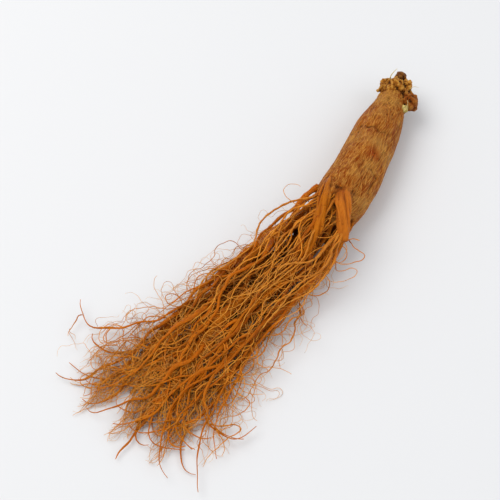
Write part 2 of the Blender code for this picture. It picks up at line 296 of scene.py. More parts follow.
def grow(rng, start, yaw, length, radius):
    """The centreline of a rootlet: it bends into the brush, keeps its lane, waves, and curls at its tip."""
    lift, drift = rng.uniform(*LIFT), rng.uniform(*DRIFT)
    curl = rng.choice((-1, 1)) * rng.uniform(*CURL)
    wave, wave_rate, wave_phase = rng.uniform(*WAVE), rng.uniform(*WAVE_RATE), rng.uniform(0, FULL_TURN)
    ripple, ripple_rate = rng.uniform(*RIPPLE), rng.uniform(*RIPPLE_RATE)
    ripple_phase = rng.uniform(0, FULL_TURN)
    bob, bob_phase = rng.uniform(*BOB), rng.uniform(0, FULL_TURN)
    start_down, start_near = in_brush(start)
    point, pitch = start.copy(), 0.0
    path = [point.copy()]
    steps = max(6, round(length / GROWTH_STEP))
    for i in range(1, steps + 1):
        share, run = i / steps, i * GROWTH_STEP
        settled = 1 - math.exp(-run / SETTLE_RUN)
        down, near = in_brush(point)
        lane = start_near + drift * (down - start_down) / BRUSH_LENGTH
        heading = yaw + (FLOW_YAW - yaw) * settled
        heading += clamp((lane - near) / STEER_RUN, HARDEST_STEER) * settled * (1 - share**3)
        heading += wave * math.sin(wave_rate * run + wave_phase)
        heading += ripple * math.sin(ripple_rate * run + ripple_phase) * settled
        heading += curl * share**3
        goal = radius + lift * brush_height(down) * (1 + bob * math.sin(BOB_RATE * run + bob_phase))
        pitch = PITCH_KEPT * pitch + (1 - PITCH_KEPT) * clamp((goal - point.z) / CLIMB_RUN, STEEPEST)
        point = moved_on(point, heading, pitch, GROWTH_STEP, radius)
        path.append(point.copy())
    return path


def body_starts(rng, count):
    """Where rootlets grow out of the body's lower end, which way, and how long they get."""
    low, high = BODY_START_ANGLES
    for i in range(count):
        angle = math.radians(low + (high - low) * (i + 0.5) / count)
        angle += rng.uniform(-BODY_START_JITTER, BODY_START_JITTER)
        start = CROTCH + ALONG * (rng.uniform(*BODY_START_RUN) * MM)
        start += way_out(angle) * (BODY_RADIUS * BODY_START_DEPTH)
        yield start, FLOW_YAW + BODY_LEAVE_TURN * math.cos(angle), rng.uniform(*BODY_ROOTLET_LENGTH) * MM


def leg_starts(rng, name, count):
    """Where rootlets grow out of a leg, to its two sides in turn, which way, and how long they get."""
    path, radii = leg_path(name, GROWTH_STEP)
    low, high = LEG_START_SHARES
    for i in range(count):
        share = low + (high - low) * (i + rng.uniform(*LEG_START_JITTER)) / count
        k = min(int(share * (len(path) - 1)), len(path) - 2)
        heading = path[k + 1] - path[k]
        yaw = math.atan2(heading.y, heading.x) % FULL_TURN
        side = 1 if i % 2 else -1
        room = BRUSH_LENGTH - in_brush(path[k])[0]
        length = (PAST_THE_TIPS + room) * rng.uniform(*FILL)
        yield path[k] + UP * (radii[k] * RISE_IN_LEG), yaw + side * rng.uniform(*LEAVE_TURN), length


def rootlets():
    """Every rootlet of the solid as a centreline and its radii, by the same seeded rule."""
    rng = random.Random(ROOTLET_SEED)
    found = []
    for name, count in ROOTLETS.items():
        starts = body_starts(rng, count) if name == "body" else leg_starts(rng, name, count)
        for start, yaw, length in starts:
            base = rng.uniform(*ROOTLET_RADIUS)
            path = grow(rng, start, yaw, length, base)
            last = len(path) - 1
            shares = [(1 - i / last) ** ROOTLET_TAPER for i in range(last + 1)]
            found.append((path, [FINEST_TIP + (base - FINEST_TIP) * share for share in shares]))
    return found


def way_out(angle):
    """Straight out of the body at an angle round it, from the near side upwards."""
    return BODY_NEAR * math.cos(angle) + UP * math.sin(angle)


def body_centre(share):
    return CROTCH + ALONG * (BODY_LENGTH * share) + BODY_NEAR * (BODY_BOW * math.sin(math.pi * share))


def body_reach(share, angle):
    """How far the body's skin is from its axis."""
    size = float(np.interp(share, *zip(*BODY_PROFILE)))
    lobes = 1 + sum(depth * math.cos(many * angle + turn * share) for many, depth, turn in BODY_LOBES)
    depth, place, width = BODY_FURROW
    middle = math.sin(math.pi * min(max(share, 0), 1))
    furrow = depth * math.exp(-(((angle % FULL_TURN - place) / width) ** 2)) * middle
    return BODY_RADIUS * size * (lobes - furrow)


def on_body(share, angle, proud=0.0):
    """A point on the body's skin, or proud of it."""
    return body_centre(share) + way_out(angle) * (body_reach(share, angle) + proud)


def head_point(place):
    """A point given past the neck, to the near side and up (mm)."""
    return NECK + HEAD_AXES @ (Vector(place) * MM)


def rows(points):
    return np.array([tuple(point) for point in points])


def runs_along(points):
    """How far along a path each of its points is."""
    return np.concatenate(([0.0], np.cumsum(np.linalg.norm(np.diff(points, axis=0), axis=1))))


# Work on meshes


def pick_only(*things):
    """Leaves just these selected, with the first of them active."""
    bpy.ops.object.select_all(action="DESELECT")
    for thing in things:
        thing.select_set(True)
    bpy.context.view_layer.objects.active = things[0]


def apply_modifier(thing, kind, **settings):
    pick_only(thing)
    modifier = thing.modifiers.new(kind.lower(), kind)
    for key, value in settings.items():
        setattr(modifier, key, value)
    bpy.ops.object.modifier_apply(modifier=modifier.name)


def edit_all(thing, operator, **settings):
    """Runs an operator on the whole mesh in edit mode."""
    pick_only(thing)
    bpy.ops.object.mode_set(mode="EDIT")
    bpy.ops.mesh.select_all(action="SELECT")
    operator(**settings)
    bpy.ops.object.mode_set(mode="OBJECT")


def shade_smooth(thing):
    pick_only(thing)
    bpy.ops.object.shade_smooth()


def vertex_places(thing):
    places = np.empty(len(thing.data.vertices) * 3)
    thing.data.vertices.foreach_get("co", places)
    return places.reshape(-1, 3)


def vertex_normals(thing):
    normals = np.empty(len(thing.data.vertices) * 3)
    thing.data.vertex_normals.foreach_get("vector", normals)
    return normals.reshape(-1, 3)


def move_vertices(thing, places):
    """Puts the vertices at these places, and none of them below the floor."""
    places = np.array(places, dtype=float)
    places[:, 2] = np.maximum(places[:, 2], 0.0)
    thing.data.vertices.foreach_set("co", places.ravel())
    thing.data.update()


def store(thing, name, values):
    """Keeps one value for each vertex, a number or a vector, for the materials to read."""
    values = np.asarray(values, dtype=np.float32)
    kind, key = ("FLOAT", "value") if values.ndim == 1 else ("FLOAT_VECTOR", "vector")
    layer = thing.data.attributes.new(name, kind, "POINT")
    layer.data.foreach_set(key, values.ravel())


def store_depth_in_brush(thing):
    """Keeps as "under" how deep each vertex is in the thick of the brush, 0 at its top and 1 well in it, by
    which the materials paint shade.
    """
    places = vertex_places(thing)
    offsets = places - np.array(CROTCH)
    down, near = offsets @ np.array(FLOW), offsets @ np.array(BRUSH_NEAR)
    aside = near / (THICK_HALF_WIDTH + THICK_SPREAD * np.maximum(down, 0))
    tops = np.array([brush_height(run) for run in down]) * (1 - aside**2)
    store(thing, "under", np.clip((tops - places[:, 2]) / THICK_DEPTH, 0, 1))


def store_hollows(thing, rounds):
    """Keeps as "deep" how deep each vertex is in a hollow (mm), below 0 on a crest, by smoothing a copy; the
    materials paint shade in hollows and highlights on crests by it.
    """
    pick_only(thing)
    bpy.ops.object.duplicate()
    smoothed = bpy.context.object
    apply_modifier(smoothed, "SMOOTH", factor=0.5, iterations=rounds)
    sunk = vertex_places(smoothed) - vertex_places(thing)
    store(thing, "deep", (sunk * vertex_normals(thing)).sum(axis=1) / MM)
    bpy.data.objects.remove(smoothed)


def fused(name, parts, voxel, rounds):
    """The parts as one closed skin, evenly meshed and smoothed."""
    pick_only(*parts)
    bpy.ops.object.join()
    thing = bpy.context.object
    thing.name = name
    for layer in list(thing.data.attributes):
        if layer.name in ("grain", "tone", "tip", "under", "UVMap"):
            thing.data.attributes.remove(layer)
    edit_all(thing, bpy.ops.mesh.normals_make_consistent, inside=False)
    apply_modifier(thing, "REMESH", mode="VOXEL", voxel_size=voxel)
    apply_modifier(thing, "SMOOTH", factor=0.5, iterations=rounds)
    return thing


def curve_thing(name, lines, closed=False):
    """A curve object with one straight-sided line for each list of points."""
    bpy.ops.curve.primitive_nurbs_path_add()
    thing = bpy.context.object
    thing.name = name
    thing.data.dimensions = "3D"
    thing.data.splines.clear()
    for points in lines:
        line = thing.data.splines.new("POLY")
        line.points.add(len(points) - 1)
        line.points.foreach_set("co", [c for p in points for c in (p[0], p[1], p[2], 1.0)])
        line.use_cyclic_u = closed
    return thing


def section(sides, flatness=1.0, lobes=0.0, lobe_count=3):
    """The closed outline that is swept along a strand, going round so that its faces point outwards."""
    points = []
    for k in range(sides):
        angle = -FULL_TURN * k / sides
        reach = 1 + lobes * math.cos(lobe_count * angle)
        points.append((reach * math.cos(angle), reach * flatness * math.sin(angle), 0.0))
    return points


def sweep(name, strands, outline):
    """One mesh of tubes with closed ends. A strand has a path, radii, a tone and, if it twists, tilts.

    Kept for the materials: grain (a place across and along the strand, in mm), tone, tip (0 at the base) and
    under (how deep it lies in the brush, by which shade is painted).
    """
    ring = len(outline)
    profile = curve_thing("outline", [outline], closed=True)
    thing = curve_thing(name, [grown["path"] for grown in strands])
    for line, grown in zip(thing.data.splines, strands):
        line.points.foreach_set("radius", [0.0, *grown["radii"][1:-1], 0.0])
        if "tilts" in grown:
            line.points.foreach_set("tilt", grown["tilts"])
    thing.data.bevel_mode = "OBJECT"
    thing.data.bevel_object = profile
    thing.data.twist_mode = "Z_UP"
    thing.data.use_fill_caps = False
    pick_only(thing)
    bpy.ops.object.convert(target="MESH")
    bpy.data.objects.remove(profile)
    angles = np.array([math.atan2(y, x) for x, y, _ in outline])
    grain, tone, tip = [], [], []
    for grown in strands:
        runs = runs_along(rows(grown["path"])) / MM
        radii = np.array(grown["radii"]) / MM
        across = np.outer(radii, np.cos(angles)).ravel() + STRAND_GRAIN_STEP * grown["tone"]
        beside = np.outer(radii, np.sin(angles)).ravel()
        grain.append(np.column_stack((across, beside, np.repeat(runs, ring))))
        tone.append(np.full(len(runs) * ring, grown["tone"]))
        tip.append(np.repeat(runs / runs[-1], ring))
    for key, values in (("grain", grain), ("tone", tone), ("tip", tip)):
        store(thing, key, np.concatenate(values))
    edit_all(thing, bpy.ops.mesh.remove_doubles, threshold=MERGE_DISTANCE)
    shade_smooth(thing)
    move_vertices(thing, vertex_places(thing))
    store_depth_in_brush(thing)
    return thing


def strand(path, radii, tone, blunt=False):
    """A strand to sweep: its path runs on past its end, to a point or to a blunt end."""
    heading = (path[-1] - path[-2]).normalized()
    path, radii = list(path), list(radii)
    if blunt:
        bulge, rim, flat = BLUNT_END
        path.append(path[-1] + heading * (radii[-1] * bulge))
        radii.append(radii[-1] * rim)
        path.append(path[-1] + heading * (radii[-1] * flat))
    else:
        path.append(path[-1] + heading * radii[-1])
    radii.append(0.0)
    return {"path": path, "radii": radii, "tone": tone}


# The flesh: the body and its legs as one skin

# Reliefs of the body, each with its depth, width and length (mm): lengthwise fibres, ripples and dents. The
# grain of its bruises has a share instead of a depth
BODY_FIBRES = (0.15, 0.95, 8.0)
BODY_RIPPLES = (0.26, 2.4, 15.0)
BODY_DENTS = (0.45, 8.0, 11.0)
BRUISE_GRAIN = (0.8, 0.7, 0.9)

# Creases across the body: share of its length, angle and half-angle round it, depth and half-width (mm).
# They waver by these amounts, each with its size (mm) and its layer of noise
BODY_CREASES = (
    (0.665, 1.60, 0.80, 0.50, 0.80),
    (0.610, 2.50, 0.50, 0.32, 0.65),
    (0.100, 1.60, 0.70, 0.45, 0.90),
    (0.330, 0.70, 0.45, 0.30, 0.60),
    (0.830, 1.10, 0.60, 0.18, 0.50),
    (0.250, 4.40, 0.80, 0.30, 0.70),
    (0.720, 4.00, 0.70, 0.30, 0.70),
    (0.450, 3.40, 0.60, 0.25, 0.60),
)
CREASE_WAVERS = ((2.0, 4.0, 3.0), (0.7, 1.3, 7.0))

# Rings round the neck: share of the length where they begin and the run to their full depth, their spacing
# and depth (mm), and how much they waver
NECK_RINGS = (0.80, 0.12)
NECK_RING_SPACING = 0.95
NECK_RING_DEPTH = 0.10
NECK_RING_WAVER = 0.6

# Old bruises on the body: share of its length, angle round it, size along and across (mm) and depth
BODY_SCARS = ((0.47, 1.15, 3.2, 2.2, 0.30), (0.22, 3.6, 2.4, 1.8, 0.25), (0.62, 5.0, 2.0, 1.6, 0.25))

# Red where the broken leg leaves the body: its place in the brush, its size (mm) and its strength
BROKEN_LEG_RED = ((-4, 1.6, 17.4), 2.6, 0.9)

# How high a crest is and how steeply it falls off, and how much of a crease counts as a hollow, which is
# painted darker as shade
CREST = (0.4, 2.4)
CREASE_HOLLOW = 0.5

# Relief of the legs, which winds round them (radians a mm): folds (depth by the leg's radius, how close they
# lie round it, and length), fine grooves (depth, width and length), and dents (depth by the leg's radius,
# width and length), in mm
LEG_SWIRL = 0.07
LEG_FOLDS = (0.26, 1.3, 13.0)
LEG_GROOVES = (0.07, 0.90, 11.0)
LEG_DENTS = (0.10, 5.0, 8.0)

# A leg is fuller where it leaves the body: by this share, for a run, falling off over another run (mm)
FLARE = (0.09, 9.0, 6.0)

# How much thinner the broken leg gets at its end, and how much of the other legs' relief it has
STUB_TAPER = 0.34
STUB_CALM = 0.85

# How the reliefs of neighbours blend, the least share that is reckoned, what sets their noise and grain
# apart, how many sides a leg's tube has, and the rounds of smoothing for the skin and to find its hollows
SKIN_BLEND = 0.10
LEAST_SHARE = 0.02
LEG_NOISE_STEP = 7.3
LEG_GRAIN_STEP = 17.0
LEG_SIDES = 24
FLESH_ROUNDS = 5
FLESH_HOLLOW_ROUNDS = 60


def barrel():
    """The body as a closed barrel, shaped from a sphere ring by ring."""
    bpy.ops.mesh.primitive_uv_sphere_add(segments=BODY_SEGMENTS, ring_count=BODY_RINGS, radius=1)
    thing = bpy.context.object
    lowest, highest = BODY_PROFILE[0][0], BODY_PROFILE[-1][0]
    for vert in thing.data.vertices:
        fall = math.acos(clamp(vert.co.z, 1.0)) / math.pi
        share = lowest + (highest - lowest) * fall
        at_pole = min(fall, 1 - fall) < 0.25 / BODY_RINGS
        vert.co = body_centre(share) if at_pole else on_body(share, math.atan2(vert.co.y, vert.co.x))
        vert.co.z = max(vert.co.z, 0.0)
    return thing


def leg_strand(name):
    path, radii = leg_path(name, LEG_STEP)
    fill, full_run, fall_run = FLARE
    broken = name == "broken_leg"
    for i, radius in enumerate(radii):
        past = max(i * LEG_STEP / MM - full_run, 0)
        radii[i] = radius * (1 + fill * math.exp(-((past / fall_run) ** 2)))
        if broken:
            radii[i] *= 1 - STUB_TAPER * (i / len(radii)) ** 3
    grown = strand(path, radii, LEG_TONE_STEP * len(name), blunt=broken)
    grown["tilts"] = [LEG_TWIST * i * LEG_STEP / LEG_TWIST_STEP for i in range(len(grown["path"]))]
    return grown


def along_leg(places, name):
    """For places in mm: how far across, beside and along a leg they are, its radius there, their nearness."""
    path, radii = leg_path(name, LEG_STEP)
    points, radii = rows(path) / MM, np.array(radii) / MM
    headings = np.gradient(points, axis=0)
    headings /= np.linalg.norm(headings, axis=1)[:, None]
    sides = np.cross(headings, tuple(UP))
    sides /= np.linalg.norm(sides, axis=1)[:, None]
    others = np.cross(headings, sides)
    gaps = (places**2).sum(axis=1)[:, None] - 2 * places @ points.T + (points**2).sum(axis=1)[None, :]
    near = gaps.argmin(axis=1)
    offsets = places - points[near]
    across, beside, along = [(offsets * axis[near]).sum(axis=1) for axis in (sides, others, headings)]
    flatness = LEGS[name][3]
    nearness = np.sqrt(across**2 + (beside / flatness) ** 2 + along**2) / radii[near]
    return across, beside, runs_along(points)[near] + along, radii[near], nearness


def along_body(places):
    """The same for the body."""
    along = (places - np.array(CROTCH) / MM) @ np.array(ALONG)
    shares = along / (BODY_LENGTH / MM)
    offsets = places - rows(body_centre(share) for share in shares) / MM
    across, beside = offsets @ np.array(BODY_NEAR), offsets @ np.array(UP)
    known, sizes = zip(*BODY_PROFILE)
    radius = BODY_RADIUS / MM * np.interp(shares, known, sizes)
    past = np.maximum(np.maximum(known[0] - shares, shares - known[-1]), 0) * BODY_LENGTH / MM
    return across, beside, along, radius, np.sqrt(across**2 + beside**2) / radius + past


def cloud(relief, place, shift=(0, 0, 0)):
    """Noise at a place across, beside and along the grain (mm), as wide and as long as a relief."""
    across, beside, along = place
    _, width, length = relief
    return noise.noise((across / width + shift[0], beside / width + shift[1], along / length + shift[2]))


def crests(value):
    """Noise as sharp crests with hollows between them, from about -1 in a hollow."""
    top, fall = CREST
    return top - fall * abs(value)


def body_relief(*place):
    """How far the body's skin stands out (mm) over its plain form, and the part of that in its grooves, by
    which shade is painted.
    """
    across, beside, along = place
    share, angle = along / (BODY_LENGTH / MM), math.atan2(beside, across)
    fine = BODY_FIBRES[0] * crests(cloud(BODY_FIBRES, place))
    rise = fine + BODY_RIPPLES[0] * cloud(BODY_RIPPLES, place, (9, 0, 0))
    rise += BODY_DENTS[0] * cloud(BODY_DENTS, place, (0, 5, 0))
    waver = cut = 0.0
    for most, size, layer in CREASE_WAVERS:
        waver += most * noise.noise((across / size, beside / size, layer))
    for spot, middle, reach, depth, width in BODY_CREASES:
        turn = (angle - middle + math.pi) % FULL_TURN - math.pi
        fade = math.exp(-((turn / reach) ** 2))
        cut += depth * fade * math.exp(-(((along - spot * BODY_LENGTH / MM + waver) / width) ** 2))
    for spot, middle, long, wide, depth in BODY_SCARS:
        turn = (angle - middle + math.pi) % FULL_TURN - math.pi
        apart = ((along - spot * BODY_LENGTH / MM) / long) ** 2 + (turn * BODY_RADIUS / MM / wide) ** 2
        cut += depth * math.exp(-apart) * (1 + BRUISE_GRAIN[0] * cloud(BRUISE_GRAIN, place))
    begin, run = NECK_RINGS
    shoulder = max(0.0, min(1.0, (share - begin) / run))
    rings = math.sin(FULL_TURN * (along + NECK_RING_WAVER * waver) / NECK_RING_SPACING)
    cut += shoulder * NECK_RING_DEPTH * (1 + rings)
    return rise - cut, fine - CREASE_HOLLOW * cut


def leg_relief(across, beside, along, radius, seed):
    """The same for a leg."""
    cosine, sine = math.cos(LEG_SWIRL * along), math.sin(LEG_SWIRL * along)
    across, beside = across * cosine - beside * sine, across * sine + beside * cosine
    place = (across, beside, along)
    depth, width, length = LEG_FOLDS
    folds = noise.noise((across / radius * width + seed, beside / radius * width, along / length))
    fold = depth * radius * crests(folds)
    fine = LEG_GROOVES[0] * crests(cloud(LEG_GROOVES, place, (0, seed, 0)))
    dent = LEG_DENTS[0] * radius * cloud(LEG_DENTS, place, (0, 0, seed))
    return fold + fine + dent, fold + fine


def scar_red(places):
    """How red the skin is: round the old bruises, and where the broken leg leaves the body."""
    place, size, strength = BROKEN_LEG_RED
    spots = [(brush_point(*place), size, strength)]
    for share, angle, long, wide, _ in BODY_SCARS:
        spots.append((on_body(share, angle), 0.5 * (long + wide), 1.0))
    red = 0.0
    for spot, size, strength in spots:
        red += strength * np.exp(-(((places - np.array(spot) / MM) ** 2).sum(axis=1)) / size**2)
    return np.clip(red, 0, 1)


def make_flesh():
    parts = [barrel()]
    for name in LEGS:
        parts.append(sweep(name, [leg_strand(name)], section(LEG_SIDES, LEGS[name][3])))
    flesh = fused("body_and_legs", parts, FLESH_VOXEL, FLESH_ROUNDS)

    places = vertex_places(flesh) / MM
    spots = [along_body(places)] + [along_leg(places, name) for name in LEGS]
    nearness = np.array([spot[4] for spot in spots])
    shares = np.exp(-(nearness - nearness.min(axis=0)) / SKIN_BLEND)
    shares /= shares.sum(axis=0)
    rises, hollows = np.zeros(len(places)), np.zeros(len(places))
    for number, (across, beside, along, radius, _) in enumerate(spots):
        calm = STUB_CALM if number == len(LEGS) else 1.0
        for i in np.flatnonzero(shares[number] > LEAST_SHARE):
            if number == 0:
                rise, fine = body_relief(across[i], beside[i], along[i])
            else:
                rise, fine = leg_relief(across[i], beside[i], along[i], radius[i], LEG_NOISE_STEP * number)
            rises[i] += shares[number][i] * (calm * rise)
            hollows[i] += shares[number][i] * (calm * fine)
    move_vertices(flesh, (places + vertex_normals(flesh) * rises[:, None]) * MM)

    owner = nearness.argmin(axis=0)
    grain = np.zeros((len(places), 3))
    for number, spot in enumerate(spots):
        mine = owner == number
        grain[mine] = np.column_stack([spot[k][mine] for k in range(3)]) + (LEG_GRAIN_STEP * number, 0, 0)
    # The hollows, the depth in the brush and the grooves are kept for the materials, which paint shade in
    # them and highlights on crests
    store_hollows(flesh, FLESH_HOLLOW_ROUNDS)
    store_depth_in_brush(flesh)
    store(flesh, "grain", grain)
    store(flesh, "amber", 1 - shares[0])
    store(flesh, "hollow", hollows)
    store(flesh, "stub", shares[-1])
    store(flesh, "red", scar_red(places))
    shade_smooth(flesh)
    return flesh


# The head, crumpled and pitted

# Folds of the head, coarse to fine: their depth, width and length (mm), and how noise becomes a fold.
# They waver by the reach and size of a warp, which has its own noise for each direction
HEAD_FOLDS = ((0.50, 2.2, 5.4), (0.26, 0.85, 2.2), (0.10, 0.40, 0.80))
FOLD_CREST = (2.0, 0.5, 0.45)
HEAD_WARP = (1.0, 3.0)
HEAD_WARP_SHIFTS = ((4.0, 0.0, 9.0), (31.4, 17.2, 5.8), (-12.6, 41.3, -23.5))

# Dry scales on the head: which lumps carry them and how many, the ranges of their ways out, their half-length
# (mm), depth in the lump and lean, their width at the middle and how it narrows, and how they cup
SCALED_LUMPS = {"crown": 8, "near_scar": 2, "collar": 2}
SCALE_WAYS = ((0.0, 0.9), (-1, 1), (-0.6, 1))
SCALE_SIZE = (1.7, 2.6)
SCALE_DEPTH = 0.80
SCALE_LEAN = (0.15, 0.55)
SCALE_WIDTH = (0.70, 0.25)
SCALE_THICKNESS = 0.36
SCALE_CUP = 0.35
SCALE_SEED = 8

# A spur on the far side of the head: its place and half-lengths (mm)
SPUR = ((2.9, -5.9, 1.0), (0.45, 1.2, 0.40))

# The tones of the head: which lumps have them, how much larger than the lump they are, and how strong. Then
# how sharp their edges are, how much calmer the dark knob is, and the rounds of smoothing
HEAD_TONES = {
    "red": (("side_lobe", 1.15, 1.0), ("collar", 1.0, 0.8)),
    "dark": (("top_knob", 1.25, 1.0),),
    "pale": (("shoulder_bud", 1.3, 1.0),),
}
TONE_EDGE = 14
KNOB_CALM = 0.55
HEAD_ROUNDS = 3
HEAD_HOLLOW_ROUNDS = 120


def shaped_ball(detail, shape):
    """A ball with its points put where the shape says: past the neck, to the near side and up (mm)."""
    bpy.ops.mesh.primitive_ico_sphere_add(subdivisions=detail, radius=1)
    thing = bpy.context.object
    for vert in thing.data.vertices:
        vert.co = head_point(shape(vert.co))
    return thing


def egg(place, half):
    """The shape of an egg with its middle at a place and these half-lengths."""
    return lambda p: [place[k] + p[k] * half[k] for k in range(3)]


def head_lump(name):
    """One lump of the head, rough by a formula."""
    plain = egg(*HEAD_LUMPS[name])
    coarse, fine = LUMP_ROUGHNESS
    a, b, c, d = LUMP_WAVES
    phase = len(name)

    def shape(p):
        p = p.normalized()
        rough = 1 + coarse * math.sin(a * p.y + phase) * math.sin(b * p.z - phase)
        rough += fine * math.sin(c * p.x + d * p.y)
        return plain(p * rough)

    return shaped_ball(4, shape)


def head_scale(rng, place, half):
    """A dry bud scale that stands out of a lump of the head like a shingle, pointing away from the body."""
    out = Vector([rng.uniform(*limits) for limits in SCALE_WAYS]).normalized()
    spot = Vector(place) + Vector([out[k] * half[k] * SCALE_DEPTH for k in range(3)])
    tip_way = (Vector((1.0, 0.0, 0.0)) + out * rng.uniform(*SCALE_LEAN)).normalized()
    wide_way = tip_way.cross(out).normalized()
    thin_way = tip_way.cross(wide_way)
    size = rng.uniform(*SCALE_SIZE)
    middle, narrowing = SCALE_WIDTH

    def shape(p):
        wide, thin = p.y * size * (middle - narrowing * p.x), p.z * SCALE_THICKNESS + SCALE_CUP * p.y**2
        return spot + tip_way * (p.x * size) + wide_way * wide + thin_way * thin

    return shaped_ball(3, shape)


def in_lump(local, name, reach):
    """1 well inside a lump of the head, made larger by the reach, and 0 well outside it."""
    place, half = HEAD_LUMPS[name]
    apart = np.sqrt((((local - np.array(place)) / np.array(half)) ** 2).sum(axis=1)) / reach
    return 1 / (1 + np.exp((apart - 1) * TONE_EDGE))


def head_relief(place):
    """How far the head's skin stands out (mm): rounded folds with sharp furrows between them."""
    reach, size = HEAD_WARP
    warp = Vector([noise.noise(place / size + Vector(shift)) for shift in HEAD_WARP_SHIFTS])
    x, y, z = place + reach * warp
    gain, most, middle = FOLD_CREST
    rise = 0.0
    for depth, width, length in HEAD_FOLDS:
        fold = abs(noise.noise((x / length, y / width, z / width)))
        rise += depth * (gain * min(fold, most) - middle)
    return rise


def make_head():
    parts = [head_lump(name) for name in HEAD_LUMPS]
    rng = random.Random(SCALE_SEED)
    for name, count in SCALED_LUMPS.items():
        parts += [head_scale(rng, *HEAD_LUMPS[name]) for _ in range(count)]
    parts.append(shaped_ball(3, egg(*SPUR)))
    head = fused("head", parts, HEAD_VOXEL, HEAD_ROUNDS)
    places = vertex_places(head) / MM
    local = (places - np.array(NECK) / MM) @ np.array((ALONG, BODY_NEAR, UP)).T
    tones = {}
    for tone, lumps in HEAD_TONES.items():
        shares = sum(strength * in_lump(local, name, reach) for name, reach, strength in lumps)
        tones[tone] = np.clip(shares, 0, 1)
    rises = np.array([head_relief(Vector(place)) for place in local])
    rises *= 1 - np.maximum(KNOB_CALM * tones["dark"], tones["pale"])
    move_vertices(head, (places + vertex_normals(head) * rises[:, None]) * MM)
    store_hollows(head, HEAD_HOLLOW_ROUNDS)
    for tone, shares in tones.items():
        store(head, tone, shares)
    shade_smooth(head)
    return head


# The strands: the rootlets of the solid, and the fine roots and hairs between them

# Each piece draws from its own seed, which is this one and a number more
STRAND_SEED = 7

# How clear strands keep of the sides of the solid's box
SIDE_MARGIN = 0.4 * MM

# Rootlets: fullness, swellings (each with its rate a step), how much thicker at the base and for how many
# steps, how much thinner at the tip, and how far and how fast (a step) they twist
ROOTLET_FULLNESS = 1.08
SWELLINGS = ((0.12, 0.55), (0.08, 1.7))
BASE_FLARE = (0.6, 2.5)
TIP_THINNING = 0.4
TWIST = 1.3
TWIST_RATE = (0.03, 0.10)

# Knots in the finer strands: how thick, and two waves, each with its rate a step and its shift by the radius
KNOTS = 0.28
KNOT_WAVES = ((1.1, 50), (0.37, 90))

# How the brush ends: each strand's own margin, how much sooner it ends at the sides, and its tassels (mm)
TIP_MARGIN = (0.5, 13.0)
TIP_ROUNDING = 15 * MM
TASSEL_REACH = 20 * MM
TASSEL_WIDTH = 7 * MM
TASSEL_SHARE = 0.2

# How far to the side strands may go, at the crotch and more down the brush, and how they turn back from there
ROOM_HALF_WIDTH = 12.0 * MM
ROOM_SPREAD = 0.0022 / MM
ROOM_SLACK = (0.0, 8.0)
CURL_SLACK = (6.0, 12.0)
TURN_BACK_RUN = 3 * MM
TURN_BACK = 0.55
TURN_BACK_ANGLE = 0.7

# How a strand wanders: its step (mm), two bends, each with its share and the range of its run, and kinks with
# their rate. A ring starts at a share of the length, makes some turns, is uneven, and opens out
WANDER_STEP = 0.8
BENDS = ((0.7, (0.7, 1.3)), (0.6, (1.9, 3.1)))
KINKS = (0.22, 1.9)
LOOP_START = (0.15, 0.6)
LOOP_TURNS = (0.8, 1.5)
LOOP_UNEVENNESS = (0.45, 1.7)
LOOP_OPENING = 0.06

# How it rises and falls: its sway (mm) and the rate of that, how much of its pitch it holds, and its climb
SWAY = (0.5, 1.6)
SWAY_RATE = 0.45
PITCH_HELD = 0.75
WANDER_CLIMB_RUN = 6 * MM
WANDER_STEEPEST = 0.6

# The kinds of fine strands. Given for a whole kind: their number, the fewest points that one may have, the
# tip's radius (mm) and how the radius falls off to it, how strongly they turn down the brush, how high in it
# they reach, and their slack to the side. Drawn for each strand, in the order listed: turn, from the heading
# where it starts, and to either side if the range is above 0; radius and length (mm); loop, the radius of a
# ring (mm), with the chance of one last; bend, the hardest turn (radians a mm); and bend_run, the length of a
# bend (mm). A third number is otherwise the most usual value
KINDS = {
    "top": (
        {"count": 12, "fewest": 12, "tip": 0.09, "fall": 0.8, "pull": 0.12, "reach_up": (0.85, 1.08)},
        {"radius": (0.22, 0.50, 0.30), "bend": (0.06, 0.16), "bend_run": (9, 18), "turn": (-0.2, 0.2),
         "length": (35, 85)},
    ),
    "fork": (
        {"count": 7, "fewest": 12, "tip": 0.09, "fall": 0.8, "pull": 0.10, "reach_up": (0.85, 1.1)},
        {"turn": (-0.25, 0.20), "radius": (0.30, 0.62), "bend": (0.06, 0.16), "bend_run": (9, 18),
         "length": (25, 75)},
    ),
    "low": (
        {"count": 60, "fewest": 12, "tip": 0.09, "fall": 0.8, "pull": 0.10, "reach_up": (0.02, 0.35)},
        {"turn": (-0.4, 0.4), "radius": (0.25, 0.50), "bend": (0.06, 0.18), "bend_run": (8, 16),
         "length": (30, 70)},
    ),
    "fine": (
        {"count": 170, "fewest": 12, "tip": 0.07, "fall": 0.8, "pull": 0.10, "reach_up": (0.15, 1.05)},
        {"turn": (0.15, 0.8), "radius": (0.13, 0.36, 0.18), "length": (18, 62), "loop": (2.4, 4.0, 0.10),
         "bend": (0.12, 0.34), "bend_run": (6, 12)},
    ),
    "curl": (
        {"count": 70, "fewest": 20, "tip": 0.07, "fall": 0.7, "pull": 0.06, "reach_up": (0.6, 1.1),
         "side_slack": CURL_SLACK},
        {"turn": (0.4, 1.6), "radius": (0.13, 0.21), "bend": (0.18, 0.42), "bend_run": (7, 13),
         "loop": (2.0, 3.4), "length": (22, 58)},
    ),
    "hair": (
        {"count": 310, "fewest": 7, "tip": 0.035, "fall": 0.9, "pull": 0.05, "reach_up": (0.05, 1.0)},
        {"turn": (0.3, 1.5), "radius": (0.085, 0.14), "length": (9, 38), "loop": (1.2, 2.8, 0.30),
         "bend": (0.25, 0.80), "bend_run": (3.6, 8.0)},
    ),
}
KINDS["end"] = (dict(KINDS["fork"][0], count=9), KINDS["fork"][1])

